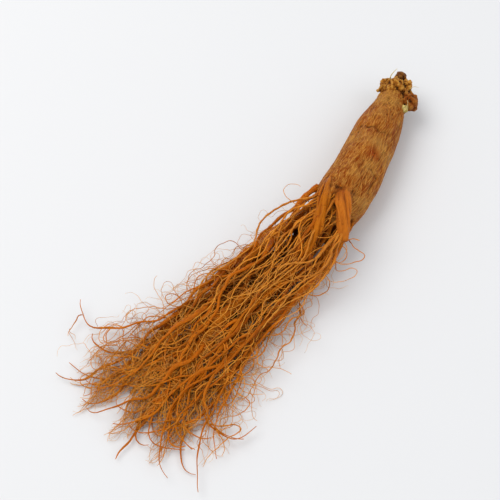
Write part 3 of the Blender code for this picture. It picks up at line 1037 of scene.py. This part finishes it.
# Where they start: on the body, at angles round it (degrees), shares of its length and a depth, fanning
# out; at the broken leg, from its points and to the side (mm); and on other strands, at shares of them
TOP_ANGLES = (25, 150)
TOP_SHARES = (0.0, 0.08)
TOP_DEPTH = 0.6 * MM
TOP_FAN = 0.5
FORK_POINTS = (5, 9)
FORK_SIDE = (0.8, 2.6)
END_POINTS = (2, 5)
END_SIDE = (-1.3, 1.3)
LOW_SHARES = (0.10, 0.45)
FINE_SHARES = (0.22, 0.98, 0.75)
CURL_SHARES = (0.02, 0.9, 0.12)
HAIR_SHARES = (0.05, 1.0, 0.75)

# Hairs that lie on the body: share and angle where they start and end, and their radius (mm). Then how many
# points they have, how far and how fast they wave, how proud they stand, and how they taper
BODY_HAIRS = (
    (0.86, 1.35, 0.42, 1.22, 0.075),
    (0.74, 1.95, 0.52, 2.10, 0.060),
    (0.30, 1.00, 0.04, 0.72, 0.085),
    (0.22, 1.75, 0.03, 2.05, 0.080),
    (0.62, 4.20, 0.18, 4.60, 0.075),
    (0.80, 5.60, 0.46, 5.30, 0.065),
)
BODY_HAIR_POINTS = 36
BODY_HAIR_WAVE = (0.09, 7)
BODY_HAIR_PROUD = 0.32 * MM
BODY_HAIR_TAPER = (0.04, 0.7)

# Pale wisps on the head: places past the neck, to the near side and up (mm), and their radius (mm). All have
# this step between points and this taper: the radius of the tip (mm), and how it falls off to it
HEAD_WISPS = (
    (((6.4, -3.6, 3.6), (8.0, -3.9, 5.2), (9.8, -3.4, 6.0), (11.4, -2.9, 6.1)), 0.24),
    (((2.0, 5.0, 3.0), (0.4, 6.0, 3.6), (-1.6, 6.4, 4.0), (-3.8, 6.1, 3.6)), 0.13),
    (((7.6, 3.8, 2.4), (8.8, 5.2, 3.0), (9.2, 6.8, 2.8)), 0.12),
)
WISP_STEP = 0.3 * MM
WISP_TAPER = (0.05, 0.6)

# A ring below the end of the broken leg, in mm to the right and up as the camera sees it: its centre from
# that end, its radius and thickness, its taper, points and turn, the tail that leads to it, and its tone
RING_PLACE = (-1.6, -4.4)
RING_REACH = 3.0
RING_THICKNESS = 0.18
RING_TAPER = (0.07, 0.5)
RING_POINTS = 14
RING_TURN = (math.radians(70), math.radians(-320))
RING_TAIL = ((7.4, 4.4), (5.0, 5.0), (2.6, 4.2))
RING_TONE = 0.9
RING_STEP = 0.5 * MM


def inside_room(point, tip_margin):
    """Whether a point keeps clear of the sides of the solid's box, and of the brush's uneven end."""
    low, high = solid_box
    middle = 0.5 * (low[1] + high[1])
    aside = (point.y - middle) / (high[1] - middle)
    tassel = max(0.0, noise.noise((point.y / TASSEL_WIDTH, 0.0, 0.0)) + TASSEL_SHARE)
    end = low[0] + tip_margin + TIP_ROUNDING * aside**2 + TASSEL_REACH * tassel
    return point.x > end and low[1] + SIDE_MARGIN < point.y < high[1] - SIDE_MARGIN


def turn_back(point, yaw, slack):
    """How hard a strand turns back into the brush (radians a mm) where it has strayed to its side."""
    down, near = in_brush(point)
    room = ROOM_HALF_WIDTH + ROOM_SPREAD * max(down, 0.0) ** 2 + slack
    stray = min(max((abs(near) - room) / TURN_BACK_RUN, 0.0), 1.0)
    return TURN_BACK * stray * math.sin(FLOW_YAW - math.copysign(TURN_BACK_ANGLE, near) - yaw)


def wander(rng, start, yaw, radius, length, bend, bend_run, pull, reach_up,
           loop=0.0, side_slack=ROOM_SLACK):
    """The centreline of a fine root or hair, cut short where it would leave the brush's room."""
    rates = [FULL_TURN / (bend_run * rng.uniform(*runs)) for _, runs in BENDS]
    phases = [rng.uniform(0, FULL_TURN) for _ in range(3)]
    hand = rng.choice((-1, 1))
    loop_start = length * rng.uniform(*LOOP_START)
    loop_turn = FULL_TURN * rng.uniform(*LOOP_TURNS)
    aim = rng.uniform(*reach_up)
    sway = rng.uniform(*SWAY)
    tip_margin = rng.uniform(*TIP_MARGIN) * MM
    slack = rng.triangular(*side_slack, side_slack[0]) * MM
    uneven, uneven_rate = LOOP_UNEVENNESS
    kink, kink_rate = KINKS
    point, pitch, turned = start.copy(), 0.0, 0.0
    path = [point.copy()]
    for i in range(1, max(6, round(length / WANDER_STEP)) + 1):
        run = i * WANDER_STEP
        waves = [math.sin(rate * run + phase) for rate, phase in zip(rates, phases)]
        turn = bend * sum(share * wave for (share, _), wave in zip(BENDS, waves))
        if loop and run > loop_start and turned < loop_turn:
            turn = hand / loop * (1 + uneven * math.sin(uneven_rate * turned + phases[0]))
            turn /= 1 + LOOP_OPENING * turned
            turned += WANDER_STEP * abs(turn)
        turn += kink * math.sin(kink_rate * run + phases[1]) + turn_back(point, yaw, slack)
        yaw += WANDER_STEP * (turn + pull * math.sin(FLOW_YAW - yaw))
        goal = aim * brush_height(in_brush(point)[0]) + sway * MM * math.sin(SWAY_RATE * run + phases[2])
        climb = clamp((max(goal, radius) - point.z) / WANDER_CLIMB_RUN, WANDER_STEEPEST)
        pitch = PITCH_HELD * pitch + (1 - PITCH_HELD) * climb
        point = moved_on(point, yaw, pitch, WANDER_STEP * MM, radius)
        if not inside_room(point, tip_margin):
            break
        path.append(point.copy())
    return path


def tapered(path, base, tip, fall, tone):
    """A strand with knots in it that thins from its base radius to its tip's, which is given in mm."""
    tip *= MM
    radii = []
    for i in range(len(path)):
        knot = KNOTS
        for rate, shift in KNOT_WAVES:
            knot *= math.sin(rate * i + base / MM * shift)
        radii.append(tip + (base - tip) * (1 - i / max(len(path) - 1, 1)) ** fall * (1 + knot))
    return strand(path, radii, tone)


def draw(rng, name, limits):
    """One value of a strand, drawn as the kinds of strands say."""
    if name == "turn" and limits[0] > 0:
        return rng.choice((-1, 1)) * rng.uniform(*limits)
    if name == "loop" and len(limits) == 3:
        return rng.uniform(*limits[:2]) if rng.random() < limits[2] else 0.0
    return rng.uniform(*limits) if len(limits) == 2 else rng.triangular(*limits)


def add_strands(rng, strands, kind, start_of):
    """Adds the strands of a kind, each from a start and a heading that start_of draws."""
    given, ranges = dict(KINDS[kind][0]), KINDS[kind][1]
    count, fewest, tip, fall = [given.pop(key) for key in ("count", "fewest", "tip", "fall")]
    wanted = len(strands) + count
    while len(strands) < wanted:
        start, yaw = start_of(rng)
        drawn = {name: draw(rng, name, limits) for name, limits in ranges.items()}
        yaw += drawn.pop("turn")
        drawn["radius"] *= MM
        path = wander(rng, start, yaw, **drawn, **given)
        if len(path) > fewest:
            strands.append(tapered(path, drawn["radius"], tip, fall, rng.random()))


def from_body(rng):
    """A start over the lower end of the body, fanning out from there."""
    angle = math.radians(rng.uniform(*TOP_ANGLES))
    return on_body(rng.uniform(*TOP_SHARES), angle, -TOP_DEPTH), FLOW_YAW + TOP_FAN * math.cos(angle)


def from_fork(rng):
    """A start beside the broken leg, on its far side."""
    point = leg_path("broken_leg", LEG_STEP)[0][rng.randint(*FORK_POINTS)]
    return point - BRUSH_NEAR * (rng.uniform(*FORK_SIDE) * MM), FLOW_YAW


def from_end(rng):
    """A start at the end of the broken leg."""
    point = leg_path("broken_leg", LEG_STEP)[0][-rng.randint(*END_POINTS)]
    return point + BRUSH_NEAR * (rng.uniform(*END_SIDE) * MM), FLOW_YAW


def from_strands(parents, shares):
    """Starts on any of the parents, at a share of its length, in its own heading there."""

    def start_of(rng):
        path = parents[rng.randrange(len(parents))]["path"]
        k = int(draw(rng, "share", shares) * (len(path) - 1))
        heading = path[min(k + 1, len(path) - 1)] - path[max(k - 1, 0)]
        return path[k], math.atan2(heading.y, heading.x)

    return start_of


def make_rootlets():
    rng = random.Random(STRAND_SEED)
    strands = []
    for path, radii in rootlets():
        fine = spline(path, STRAND_STEP)
        widths = np.interp(np.linspace(0, 1, len(fine)), np.linspace(0, 1, len(path)), radii)
        phases = [rng.uniform(0, FULL_TURN) for _ in range(3)]
        twist = rng.uniform(*TWIST_RATE)
        more, run = BASE_FLARE
        for i, width in enumerate(widths):
            full = ROOTLET_FULLNESS
            for (most, rate), phase in zip(SWELLINGS, phases):
                full += most * math.sin(rate * i + phase)
            thin = 1 - TIP_THINNING * (i / len(widths)) ** 2
            widths[i] = width * full * (1 + more * math.exp(-i / run)) * thin
        grown = strand(fine, widths, rng.random())
        grown["tilts"] = [TWIST * math.sin(twist * i + phases[2]) for i in range(len(grown["path"]))]
        strands.append(grown)
    return sweep("rootlets", strands, section(10, flatness=0.66, lobes=0.12)), strands


def make_fine_roots(legs, parents):
    """Fine roots that leave the body, the legs and the rootlets and run on down the brush."""
    rng = random.Random(STRAND_SEED + 1)
    strands = []
    add_strands(rng, strands, "top", from_body)
    add_strands(rng, strands, "fork", from_fork)
    add_strands(rng, strands, "end", from_end)
    add_strands(rng, strands, "low", from_strands(legs, LOW_SHARES))
    add_strands(rng, strands, "fine", from_strands(parents, FINE_SHARES))
    return sweep("fine_roots", strands, section(6)), strands


def ring_strand():
    """A thin root that comes past the end of the broken leg and closes into a ring below it."""
    leg_end = brush_point(*LEGS["broken_leg"][0][-1])
    first, whole = RING_TURN
    angles = [first + whole * i / (RING_POINTS - 1) for i in range(RING_POINTS)]
    places = [*RING_TAIL, *[(RING_REACH * math.cos(a), RING_REACH * math.sin(a)) for a in angles]]
    right, up = RING_PLACE
    path = [leg_end + (VIEW_RIGHT * (right + x) + VIEW_UP * (up + y)) * MM for x, y in places]
    return tapered(spline(path, RING_STEP), RING_THICKNESS * MM, *RING_TAPER, RING_TONE)


def make_curls(parents):
    """Thin roots in rings and curls, on top of the brush and along its edges."""
    rng = random.Random(STRAND_SEED + 2)
    strands = []
    add_strands(rng, strands, "curl", from_strands(parents, CURL_SHARES))
    return sweep("curls", [*strands, ring_strand()], section(6))


def make_hairs(parents, number):
    """Hairs in curls and tangles, most of them towards the tips."""
    rng = random.Random(STRAND_SEED + 9 + number)
    strands = []
    add_strands(rng, strands, "hair", from_strands(parents, HAIR_SHARES))
    return sweep(f"hairs_{number}", strands, section(4))


def make_wisps():
    rng = random.Random(STRAND_SEED + 6)
    strands = []
    for places, radius in HEAD_WISPS:
        path = spline([head_point(place) for place in places], WISP_STEP)
        strands.append(tapered(path, radius * MM, *WISP_TAPER, rng.random()))
    return sweep("wisps", strands, section(6, flatness=0.6))


def make_body_hairs():
    rng = random.Random(STRAND_SEED + 5)
    wave, rate = BODY_HAIR_WAVE
    strands = []
    for start, first, end, last, radius in BODY_HAIRS:
        phase = rng.uniform(0, FULL_TURN)
        path = []
        for i in range(BODY_HAIR_POINTS):
            t = i / (BODY_HAIR_POINTS - 1)
            angle = first + (last - first) * t + wave * math.sin(rate * t + phase)
            path.append(on_body(start + (end - start) * t, angle, BODY_HAIR_PROUD))
        strands.append(tapered(path, radius * MM, *BODY_HAIR_TAPER, rng.random()))
    return sweep("body_hairs", strands, section(5))


# The materials

# A wash lays a colour over another: by which value, the two values between which it grows, the most of it,
# and the colour as 0 to 255 screen values
SKIN_WASHES = (
    ("pale", 0.40, 0.80, 0.75, (188, 138, 66)),
    ("small", 0, 1, 0.22, (104, 38, 0)),
    ("bands", 0, 1, 0.55, (120, 44, 0)),
    ("streaks", 0, 1, 0.68, (216, 152, 68)),
    # painted shade in the grooves of the fibres, in creases, bruise dents and neck rings
    ("hollow", -0.04, -0.36, 0.65, (80, 36, 6)),
    ("red", 0, 1, 0.80, (150, 58, 4)),
)
GLOW_WASHES = (
    ("strings", 0, 1, 0.40, (188, 106, 14)),
    # painted shade in the folds and grooves of the legs
    ("hollow", 0.0, -0.8, 0.60, (96, 30, 1)),
    # painted shade in hollows
    ("deep", 0.02, 0.18, 0.70, (84, 26, 1)),
    # painted highlight on crests
    ("deep", -0.02, -0.14, 0.45, (204, 118, 22)),
    # painted shade deep in the brush
    ("under", 0.1, 0.9, 0.85, (64, 19, 1)),
    ("stub", 0, 1, 0.30, (206, 116, 46)),
)
FLESH_WASHES = (
    # painted shade in hollows
    ("deep", 0.06, 0.25, 0.8, (60, 22, 3)),
    ("dirt", 0, 1, 0.5, (58, 28, 10)),
)
HEAD_WASHES = (
    ("small", 0, 1, 0.5, (112, 54, 8)),
    # painted highlight on the crests of the folds
    ("deep", -0.03, -0.14, 0.60, (220, 162, 72)),
    ("red", 0, 1, 0.80, (128, 54, 12)),
    ("dark", 0, 1, 0.85, (88, 42, 16)),
    # painted shade in the furrows between the folds
    ("deep", 0.01, 0.13, 0.94, (40, 16, 3)),
)
STRAND_WASHES = (
    # painted shade deep in the brush
    ("under", 0.1, 0.9, 0.88, (62, 19, 1)),
    ("dirt", 0, 1, 0.7, (62, 30, 10)),
)

# Strands: their darkest and brightest tones, the colour of tip and streaks, and how much light goes in
STRAND_TINTS = {
    "rootlet_amber": ((124, 44, 1), (194, 96, 4), (214, 126, 22), 0.15),
    "fine_root_gold": ((142, 58, 2), (218, 124, 16), (238, 168, 70), 0.10),
    "hair_straw": ((160, 74, 6), (226, 140, 44), (242, 186, 104), 0.05),
    "wisp_pale": ((176, 146, 82), (212, 188, 128), (226, 208, 156), 0.05),
}

# The sheen of dried root is golden, and red light goes furthest into it
WARM_SHEEN = (1.0, 0.62, 0.24, 1.0)
LIGHT_REACH = (1.0, 0.35, 0.08)

# The slant at which felt crosses the grain. Then the share of the broad streaks, how much narrower and
# shorter the fine ones are, and the share of a strand's own tone in its colour
FELT_SLANT = 0.13
BROAD_SHARE = 0.6
FINE_WIDTH = 0.42
FINE_LENGTH = 0.7
STRAND_TONE_SHARE = 0.6

# The floor: the two tones of its soft pattern, and its size (m)
FLOOR_TONES = ((0.74, 0.745, 0.755, 1), (0.76, 0.765, 0.775, 1))
FLOOR_SIZE = 4


def tint(red, green, blue):
    """A colour from its 0 to 255 screen values."""
    shares = [value / 255 for value in (red, green, blue)]
    return (*[s / 12.92 if s <= 0.04045 else ((s + 0.055) / 1.055) ** 2.4 for s in shares], 1.0)


def put(tree, kind, inputs=None, **settings):
    """Adds a node with its settings, and sets or links its inputs."""
    node = tree.nodes.new(kind)
    for key, value in settings.items():
        setattr(node, key, value)
    for key, value in (inputs or {}).items():
        if isinstance(value, bpy.types.NodeSocket):
            tree.links.new(value, node.inputs[key])
        else:
            node.inputs[key].default_value = value
    return node


def reckon(tree, operation, a, b):
    return put(tree, "ShaderNodeMath", {0: a, 1: b}, operation=operation).outputs[0]


def blended(tree, share, a, b):
    """Two values added up, the first by a share and the second by the rest."""
    return reckon(tree, "ADD", reckon(tree, "MULTIPLY", a, share), reckon(tree, "MULTIPLY", b, 1 - share))


def spread(tree, value, low, high, to_low=0.0, to_high=1.0):
    inputs = {"Value": value, "From Min": low, "From Max": high, "To Min": to_low, "To Max": to_high}
    return put(tree, "ShaderNodeMapRange", inputs, clamp=True).outputs[0]


def mixed(tree, share, a, b):
    return put(tree, "ShaderNodeMix", {0: share, 6: a, 7: b}, data_type="RGBA").outputs[2]


def either(tree, share, a, b):
    """The first value where the share is 0 and the second where it is 1."""
    return put(tree, "ShaderNodeMix", {0: share, 2: a, 3: b}, data_type="FLOAT").outputs[0]


def kept(tree, name, output="Fac"):
    """A value that was stored on the mesh."""
    return put(tree, "ShaderNodeAttribute", attribute_name=name).outputs[output]


def washed(tree, colour, washes, **values):
    """Lays washes over a colour, each by one of the values given or else by one stored on the mesh."""
    for name, low, high, most, over in washes:
        value = values[name] if name in values else kept(tree, name)
        colour = mixed(tree, spread(tree, value, low, high, 0.0, most), colour, tint(*over))
    return colour


def streaked(tree, place, width, length, detail, roughness):
    """Noise that comes out this wide and this long, at places across and along the grain (mm)."""
    scale = put(tree, "ShaderNodeCombineXYZ", {"X": width, "Y": width, "Z": length}).outputs[0]
    place = put(tree, "ShaderNodeVectorMath", {0: place, 1: scale}, operation="DIVIDE").outputs[0]
    inputs = {"Vector": place, "Scale": 1.0, "Detail": detail, "Roughness": roughness}
    return put(tree, "ShaderNodeTexNoise", inputs).outputs[0]


def effect(name, outputs, **inputs):
    """A node group: its tree, its input sockets and its output node. An input of None is a vector."""
    tree = bpy.data.node_groups.new(name, "ShaderNodeTree")
    for label, value in inputs.items():
        kind = "NodeSocketVector" if value is None else "NodeSocketFloat"
        socket = tree.interface.new_socket(label, in_out="INPUT", socket_type=kind)
        if value is not None:
            socket.default_value = value
    for label in outputs:
        tree.interface.new_socket(label, in_out="OUTPUT", socket_type="NodeSocketFloat")
    return tree, put(tree, "NodeGroupInput").outputs, put(tree, "NodeGroupOutput")


def fibres_effect():
    """Streaks along the grain: broad ones with fine ones in them."""
    tree, given, out = effect("lengthwise_fibres", ("Streaks", "Relief"), Grain=None, Width=0.6, Length=5)
    broad = streaked(tree, given["Grain"], given["Width"], given["Length"], detail=2.0, roughness=0.6)
    width = reckon(tree, "MULTIPLY", given["Width"], FINE_WIDTH)
    length = reckon(tree, "MULTIPLY", given["Length"], FINE_LENGTH)
    fine = streaked(tree, given["Grain"], width, length, detail=1.0, roughness=0.5)
    both = blended(tree, BROAD_SHARE, broad, fine)
    tree.links.new(spread(tree, both, 0.36, 0.64), out.inputs["Streaks"])
    tree.links.new(both, out.inputs["Relief"])
    return tree


def felt_effect():
    """A felt of short fibres that cross at a slant to the grain."""
    tree, given, out = effect("felted_fibres", ("Streaks", "Relief"), Grain=None, Width=0.5, Length=3)
    place = put(tree, "ShaderNodeSeparateXYZ", {0: given["Grain"]}).outputs
    layers = []
    for slant in (FELT_SLANT, -FELT_SLANT):
        shift = reckon(tree, "MULTIPLY", place["Z"], slant)
        slanted = put(tree, "ShaderNodeCombineXYZ", {
            "X": reckon(tree, "ADD", place["X"], shift),
            "Y": reckon(tree, "SUBTRACT", place["Y"], shift),
            "Z": place["Z"],
        }).outputs[0]
        layers.append(streaked(tree, slanted, given["Width"], given["Length"], detail=2.0, roughness=0.65))
    top = reckon(tree, "MAXIMUM", *layers)
    tree.links.new(spread(tree, top, 0.46, 0.68), out.inputs["Streaks"])
    tree.links.new(top, out.inputs["Relief"])
    return tree


def cloud_effect(name, output, detail, roughness, low, high):
    """Noise of a given size (mm), as soft patches or as sparse specks."""
    tree, given, out = effect(name, (output,), Place=None, Size=1.0)
    soft = streaked(tree, given["Place"], given["Size"], given["Size"], detail, roughness)
    tree.links.new(spread(tree, soft, low, high), out.inputs[output])
    return tree


def use(tree, group, *outputs, **inputs):
    """Places a node group in a material and gives its outputs."""
    node = put(tree, "ShaderNodeGroup", inputs, node_tree=group)
    found = [node.outputs[name] for name in outputs]
    return found[0] if len(found) == 1 else found


def millimetres(tree):
    """Object coordinates in millimetres."""
    place = put(tree, "ShaderNodeTexCoord").outputs["Object"]
    return put(tree, "ShaderNodeVectorMath", {0: place, 1: (1 / MM,) * 3}, operation="MULTIPLY").outputs[0]


def new_material(name, sub=0.0, reach=0.7, specular=0.3):
    material = bpy.data.materials.new(name)
    material.use_nodes = True
    shader = material.node_tree.nodes["Principled BSDF"]
    shader.inputs["Subsurface Weight"].default_value = sub
    shader.inputs["Subsurface Radius"].default_value = LIGHT_REACH
    shader.inputs["Subsurface Scale"].default_value = reach * MM
    shader.inputs["Specular IOR Level"].default_value = specular
    shader.inputs["Specular Tint"].default_value = WARM_SHEEN
    return material, material.node_tree, shader


def finish_skin(tree, shader, colour, roughness, height, depth):
    """Gives the shader its colour, its roughness and a relief of some depth (mm)."""
    bump = put(tree, "ShaderNodeBump", {"Height": height, "Distance": depth * MM, "Strength": 1.0})
    for value, name in ((colour, "Base Color"), (roughness, "Roughness"), (bump.outputs[0], "Normal")):
        tree.links.new(value, shader.inputs[name])


def flesh_material(effects):
    """The fibrous skin of the body, and the amber skin of the legs."""
    material, tree, shader = new_material("root_skin", sub=0.10, reach=1.0, specular=0.18)
    grain, place, amber = kept(tree, "grain", "Vector"), millimetres(tree), kept(tree, "amber")
    felt, fibres, patches = effects["felt"], effects["fibres"], effects["patches"]
    streaks, rise = use(tree, felt, "Streaks", "Relief", Grain=grain, Width=0.46, Length=5.2)
    strings, wrinkles = use(tree, fibres, "Streaks", "Relief", Grain=grain, Width=0.5, Length=8.0)
    bands = use(tree, fibres, "Streaks", Grain=grain, Width=2.2, Length=26.0)
    broad, small, pale = [use(tree, patches, "Tone", Place=place, Size=size) for size in (7.0, 3.0, 11.0)]
    dirt = use(tree, effects["specks"], "Specks", Place=place, Size=1.1)
    skin = mixed(tree, broad, tint(118, 40, 0), tint(162, 82, 4))
    # The skin washes paint shade in grooves and creases
    skin = washed(tree, skin, SKIN_WASHES, pale=pale, small=small, bands=bands, streaks=streaks)
    glow = mixed(tree, broad, tint(130, 54, 1), tint(164, 82, 2))
    # The leg washes paint shade in folds, in hollows and deep in the brush, and a highlight on crests
    glow = washed(tree, glow, GLOW_WASHES, strings=strings)
    # The flesh washes paint shade in hollows
    colour = washed(tree, mixed(tree, amber, skin, glow), FLESH_WASHES, dirt=dirt)
    dull = spread(tree, small, 0, 1, to_low=0.50, to_high=0.66)
    shine = spread(tree, small, 0, 1, to_low=0.32, to_high=0.48)
    height = either(tree, amber, rise, wrinkles)
    finish_skin(tree, shader, colour, either(tree, amber, dull, shine), height, depth=0.90)
    return material


def head_material(effects):
    material, tree, shader = new_material("root_head", sub=0.08)
    place = millimetres(tree)
    broad, small = [use(tree, effects["patches"], "Tone", Place=place, Size=size) for size in (3.2, 0.8)]
    colour = mixed(tree, broad, tint(134, 74, 12), tint(176, 108, 26))
    # The head washes paint shade in furrows and a highlight on crests
    colour = washed(tree, colour, HEAD_WASHES, small=small)
    bud = mixed(tree, small, tint(224, 200, 130), tint(160, 146, 66))
    colour = mixed(tree, kept(tree, "pale"), colour, bud)
    roughness = spread(tree, small, 0, 1, to_low=0.48, to_high=0.68)
    finish_skin(tree, shader, colour, roughness, small, depth=0.35)
    return material


def strand_material(effects, name):
    """The skin of a strand: each has its own tone, and it pales towards its tip."""
    dark, bright, tip_colour, sub = STRAND_TINTS[name]
    material, tree, shader = new_material(name, sub=sub)
    grain, place = kept(tree, "grain", "Vector"), millimetres(tree)
    streaks, rise = use(tree, effects["fibres"], "Streaks", "Relief", Grain=grain, Width=0.35, Length=5.0)
    patch = use(tree, effects["patches"], "Tone", Place=place, Size=5.0)
    dirt = use(tree, effects["specks"], "Specks", Place=place, Size=0.9)
    tip = reckon(tree, "POWER", kept(tree, "tip"), 2.0)
    share = blended(tree, STRAND_TONE_SHARE, kept(tree, "tone"), patch)
    colour = mixed(tree, share, tint(*dark), tint(*bright))
    # The strand washes paint shade deep in the brush
    washes = (("streaks", 0, 1, 0.45, tip_colour), ("tip", 0, 1, 0.6, tip_colour), *STRAND_WASHES)
    colour = washed(tree, colour, washes, streaks=streaks, tip=tip, dirt=dirt)
    roughness = spread(tree, patch, 0, 1, to_low=0.34, to_high=0.52)
    finish_skin(tree, shader, colour, roughness, rise, depth=0.50)
    return material


# The floor, the camera and the light


def plain_floor():
    material, tree, shader = new_material("pale_floor", reach=1.0, specular=0.2)
    place = put(tree, "ShaderNodeTexCoord").outputs["Object"]
    soft = put(tree, "ShaderNodeTexNoise", {"Vector": place, "Scale": 3.0, "Detail": 1.0}).outputs[0]
    tree.links.new(mixed(tree, soft, *FLOOR_TONES), shader.inputs["Base Color"])
    shader.inputs["Roughness"].default_value = 0.7
    bpy.ops.mesh.primitive_grid_add(x_subdivisions=8, y_subdivisions=8, size=FLOOR_SIZE)
    floor = bpy.context.object
    floor.name = "floor"
    floor.data.materials.append(material)
    floor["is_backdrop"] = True


def studio():
    scene = bpy.context.scene
    level = math.cos(VIEW_ELEVATION)
    x, y = math.sin(VIEW_AZIMUTH) * level, -math.cos(VIEW_AZIMUTH) * level
    back = Vector((x, y, math.sin(VIEW_ELEVATION)))
    camera = bpy.data.objects.new("camera", bpy.data.cameras.new("camera"))
    camera.data.lens = LENS
    camera.data.sensor_width = SENSOR
    camera.data.clip_start = 0.02
    camera.location = AIM + back * CAMERA_DISTANCE
    camera.rotation_euler = back.to_track_quat("Z", "Y").to_euler()
    scene.collection.objects.link(camera)
    scene.camera = camera
    scene.view_settings.view_transform = "Standard"

    scene.world = bpy.data.worlds.new("studio")
    scene.world.use_nodes = True
    inputs = scene.world.node_tree.nodes["Background"].inputs
    inputs["Color"].default_value, inputs["Strength"].default_value = SKY

    for name, (up, right, high), distance, size, power, colour in LIGHTS:
        light = bpy.data.lights.new(name, "AREA")
        light.shape = "DISK"
        light.size = size
        light.energy = power
        light.color = colour
        thing = bpy.data.objects.new(name, light)
        scene.collection.objects.link(thing)
        direction = UP * up + VIEW_RIGHT * right + VIEW_UP * high
        thing.location = AIM + direction.normalized() * distance
        thing.rotation_euler = direction.to_track_quat("Z", "Y").to_euler()


def dress(thing, material):
    thing.data.materials.clear()
    thing.data.materials.append(material)
    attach(thing, "root")


def main():
    studio()
    bpy.ops.object.select_all(action="DESELECT")
    plain_floor()
    effects = {
        "felt": felt_effect(),
        "fibres": fibres_effect(),
        "patches": cloud_effect("soft_patches", "Tone", detail=3.0, roughness=0.55, low=0.33, high=0.67),
        "specks": cloud_effect("specks", "Specks", detail=1.0, roughness=0.4, low=0.66, high=0.74),
    }
    amber, golden, straw, pale = [strand_material(effects, name) for name in STRAND_TINTS]
    flesh = make_flesh()
    dress(flesh, flesh_material(effects))
    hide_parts("ginseng_root")
    dress(make_head(), head_material(effects))
    legs = [leg_strand(name) for name in LEGS if name != "broken_leg"]
    main_roots, main_strands = make_rootlets()
    dress(main_roots, amber)
    fine_roots, fine_strands = make_fine_roots(legs, legs + main_strands)
    dress(fine_roots, golden)
    dress(make_curls(legs + main_strands), golden)
    dress(make_wisps(), pale)
    for number in (1, 2):
        dress(make_hairs(legs + main_strands + fine_strands, number), straw)
    dress(make_body_hairs(), straw)


main()
boxes = {"cad": solid_box, "visual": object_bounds()}
{name: [list(corner) for corner in box] for name, box in boxes.items()}
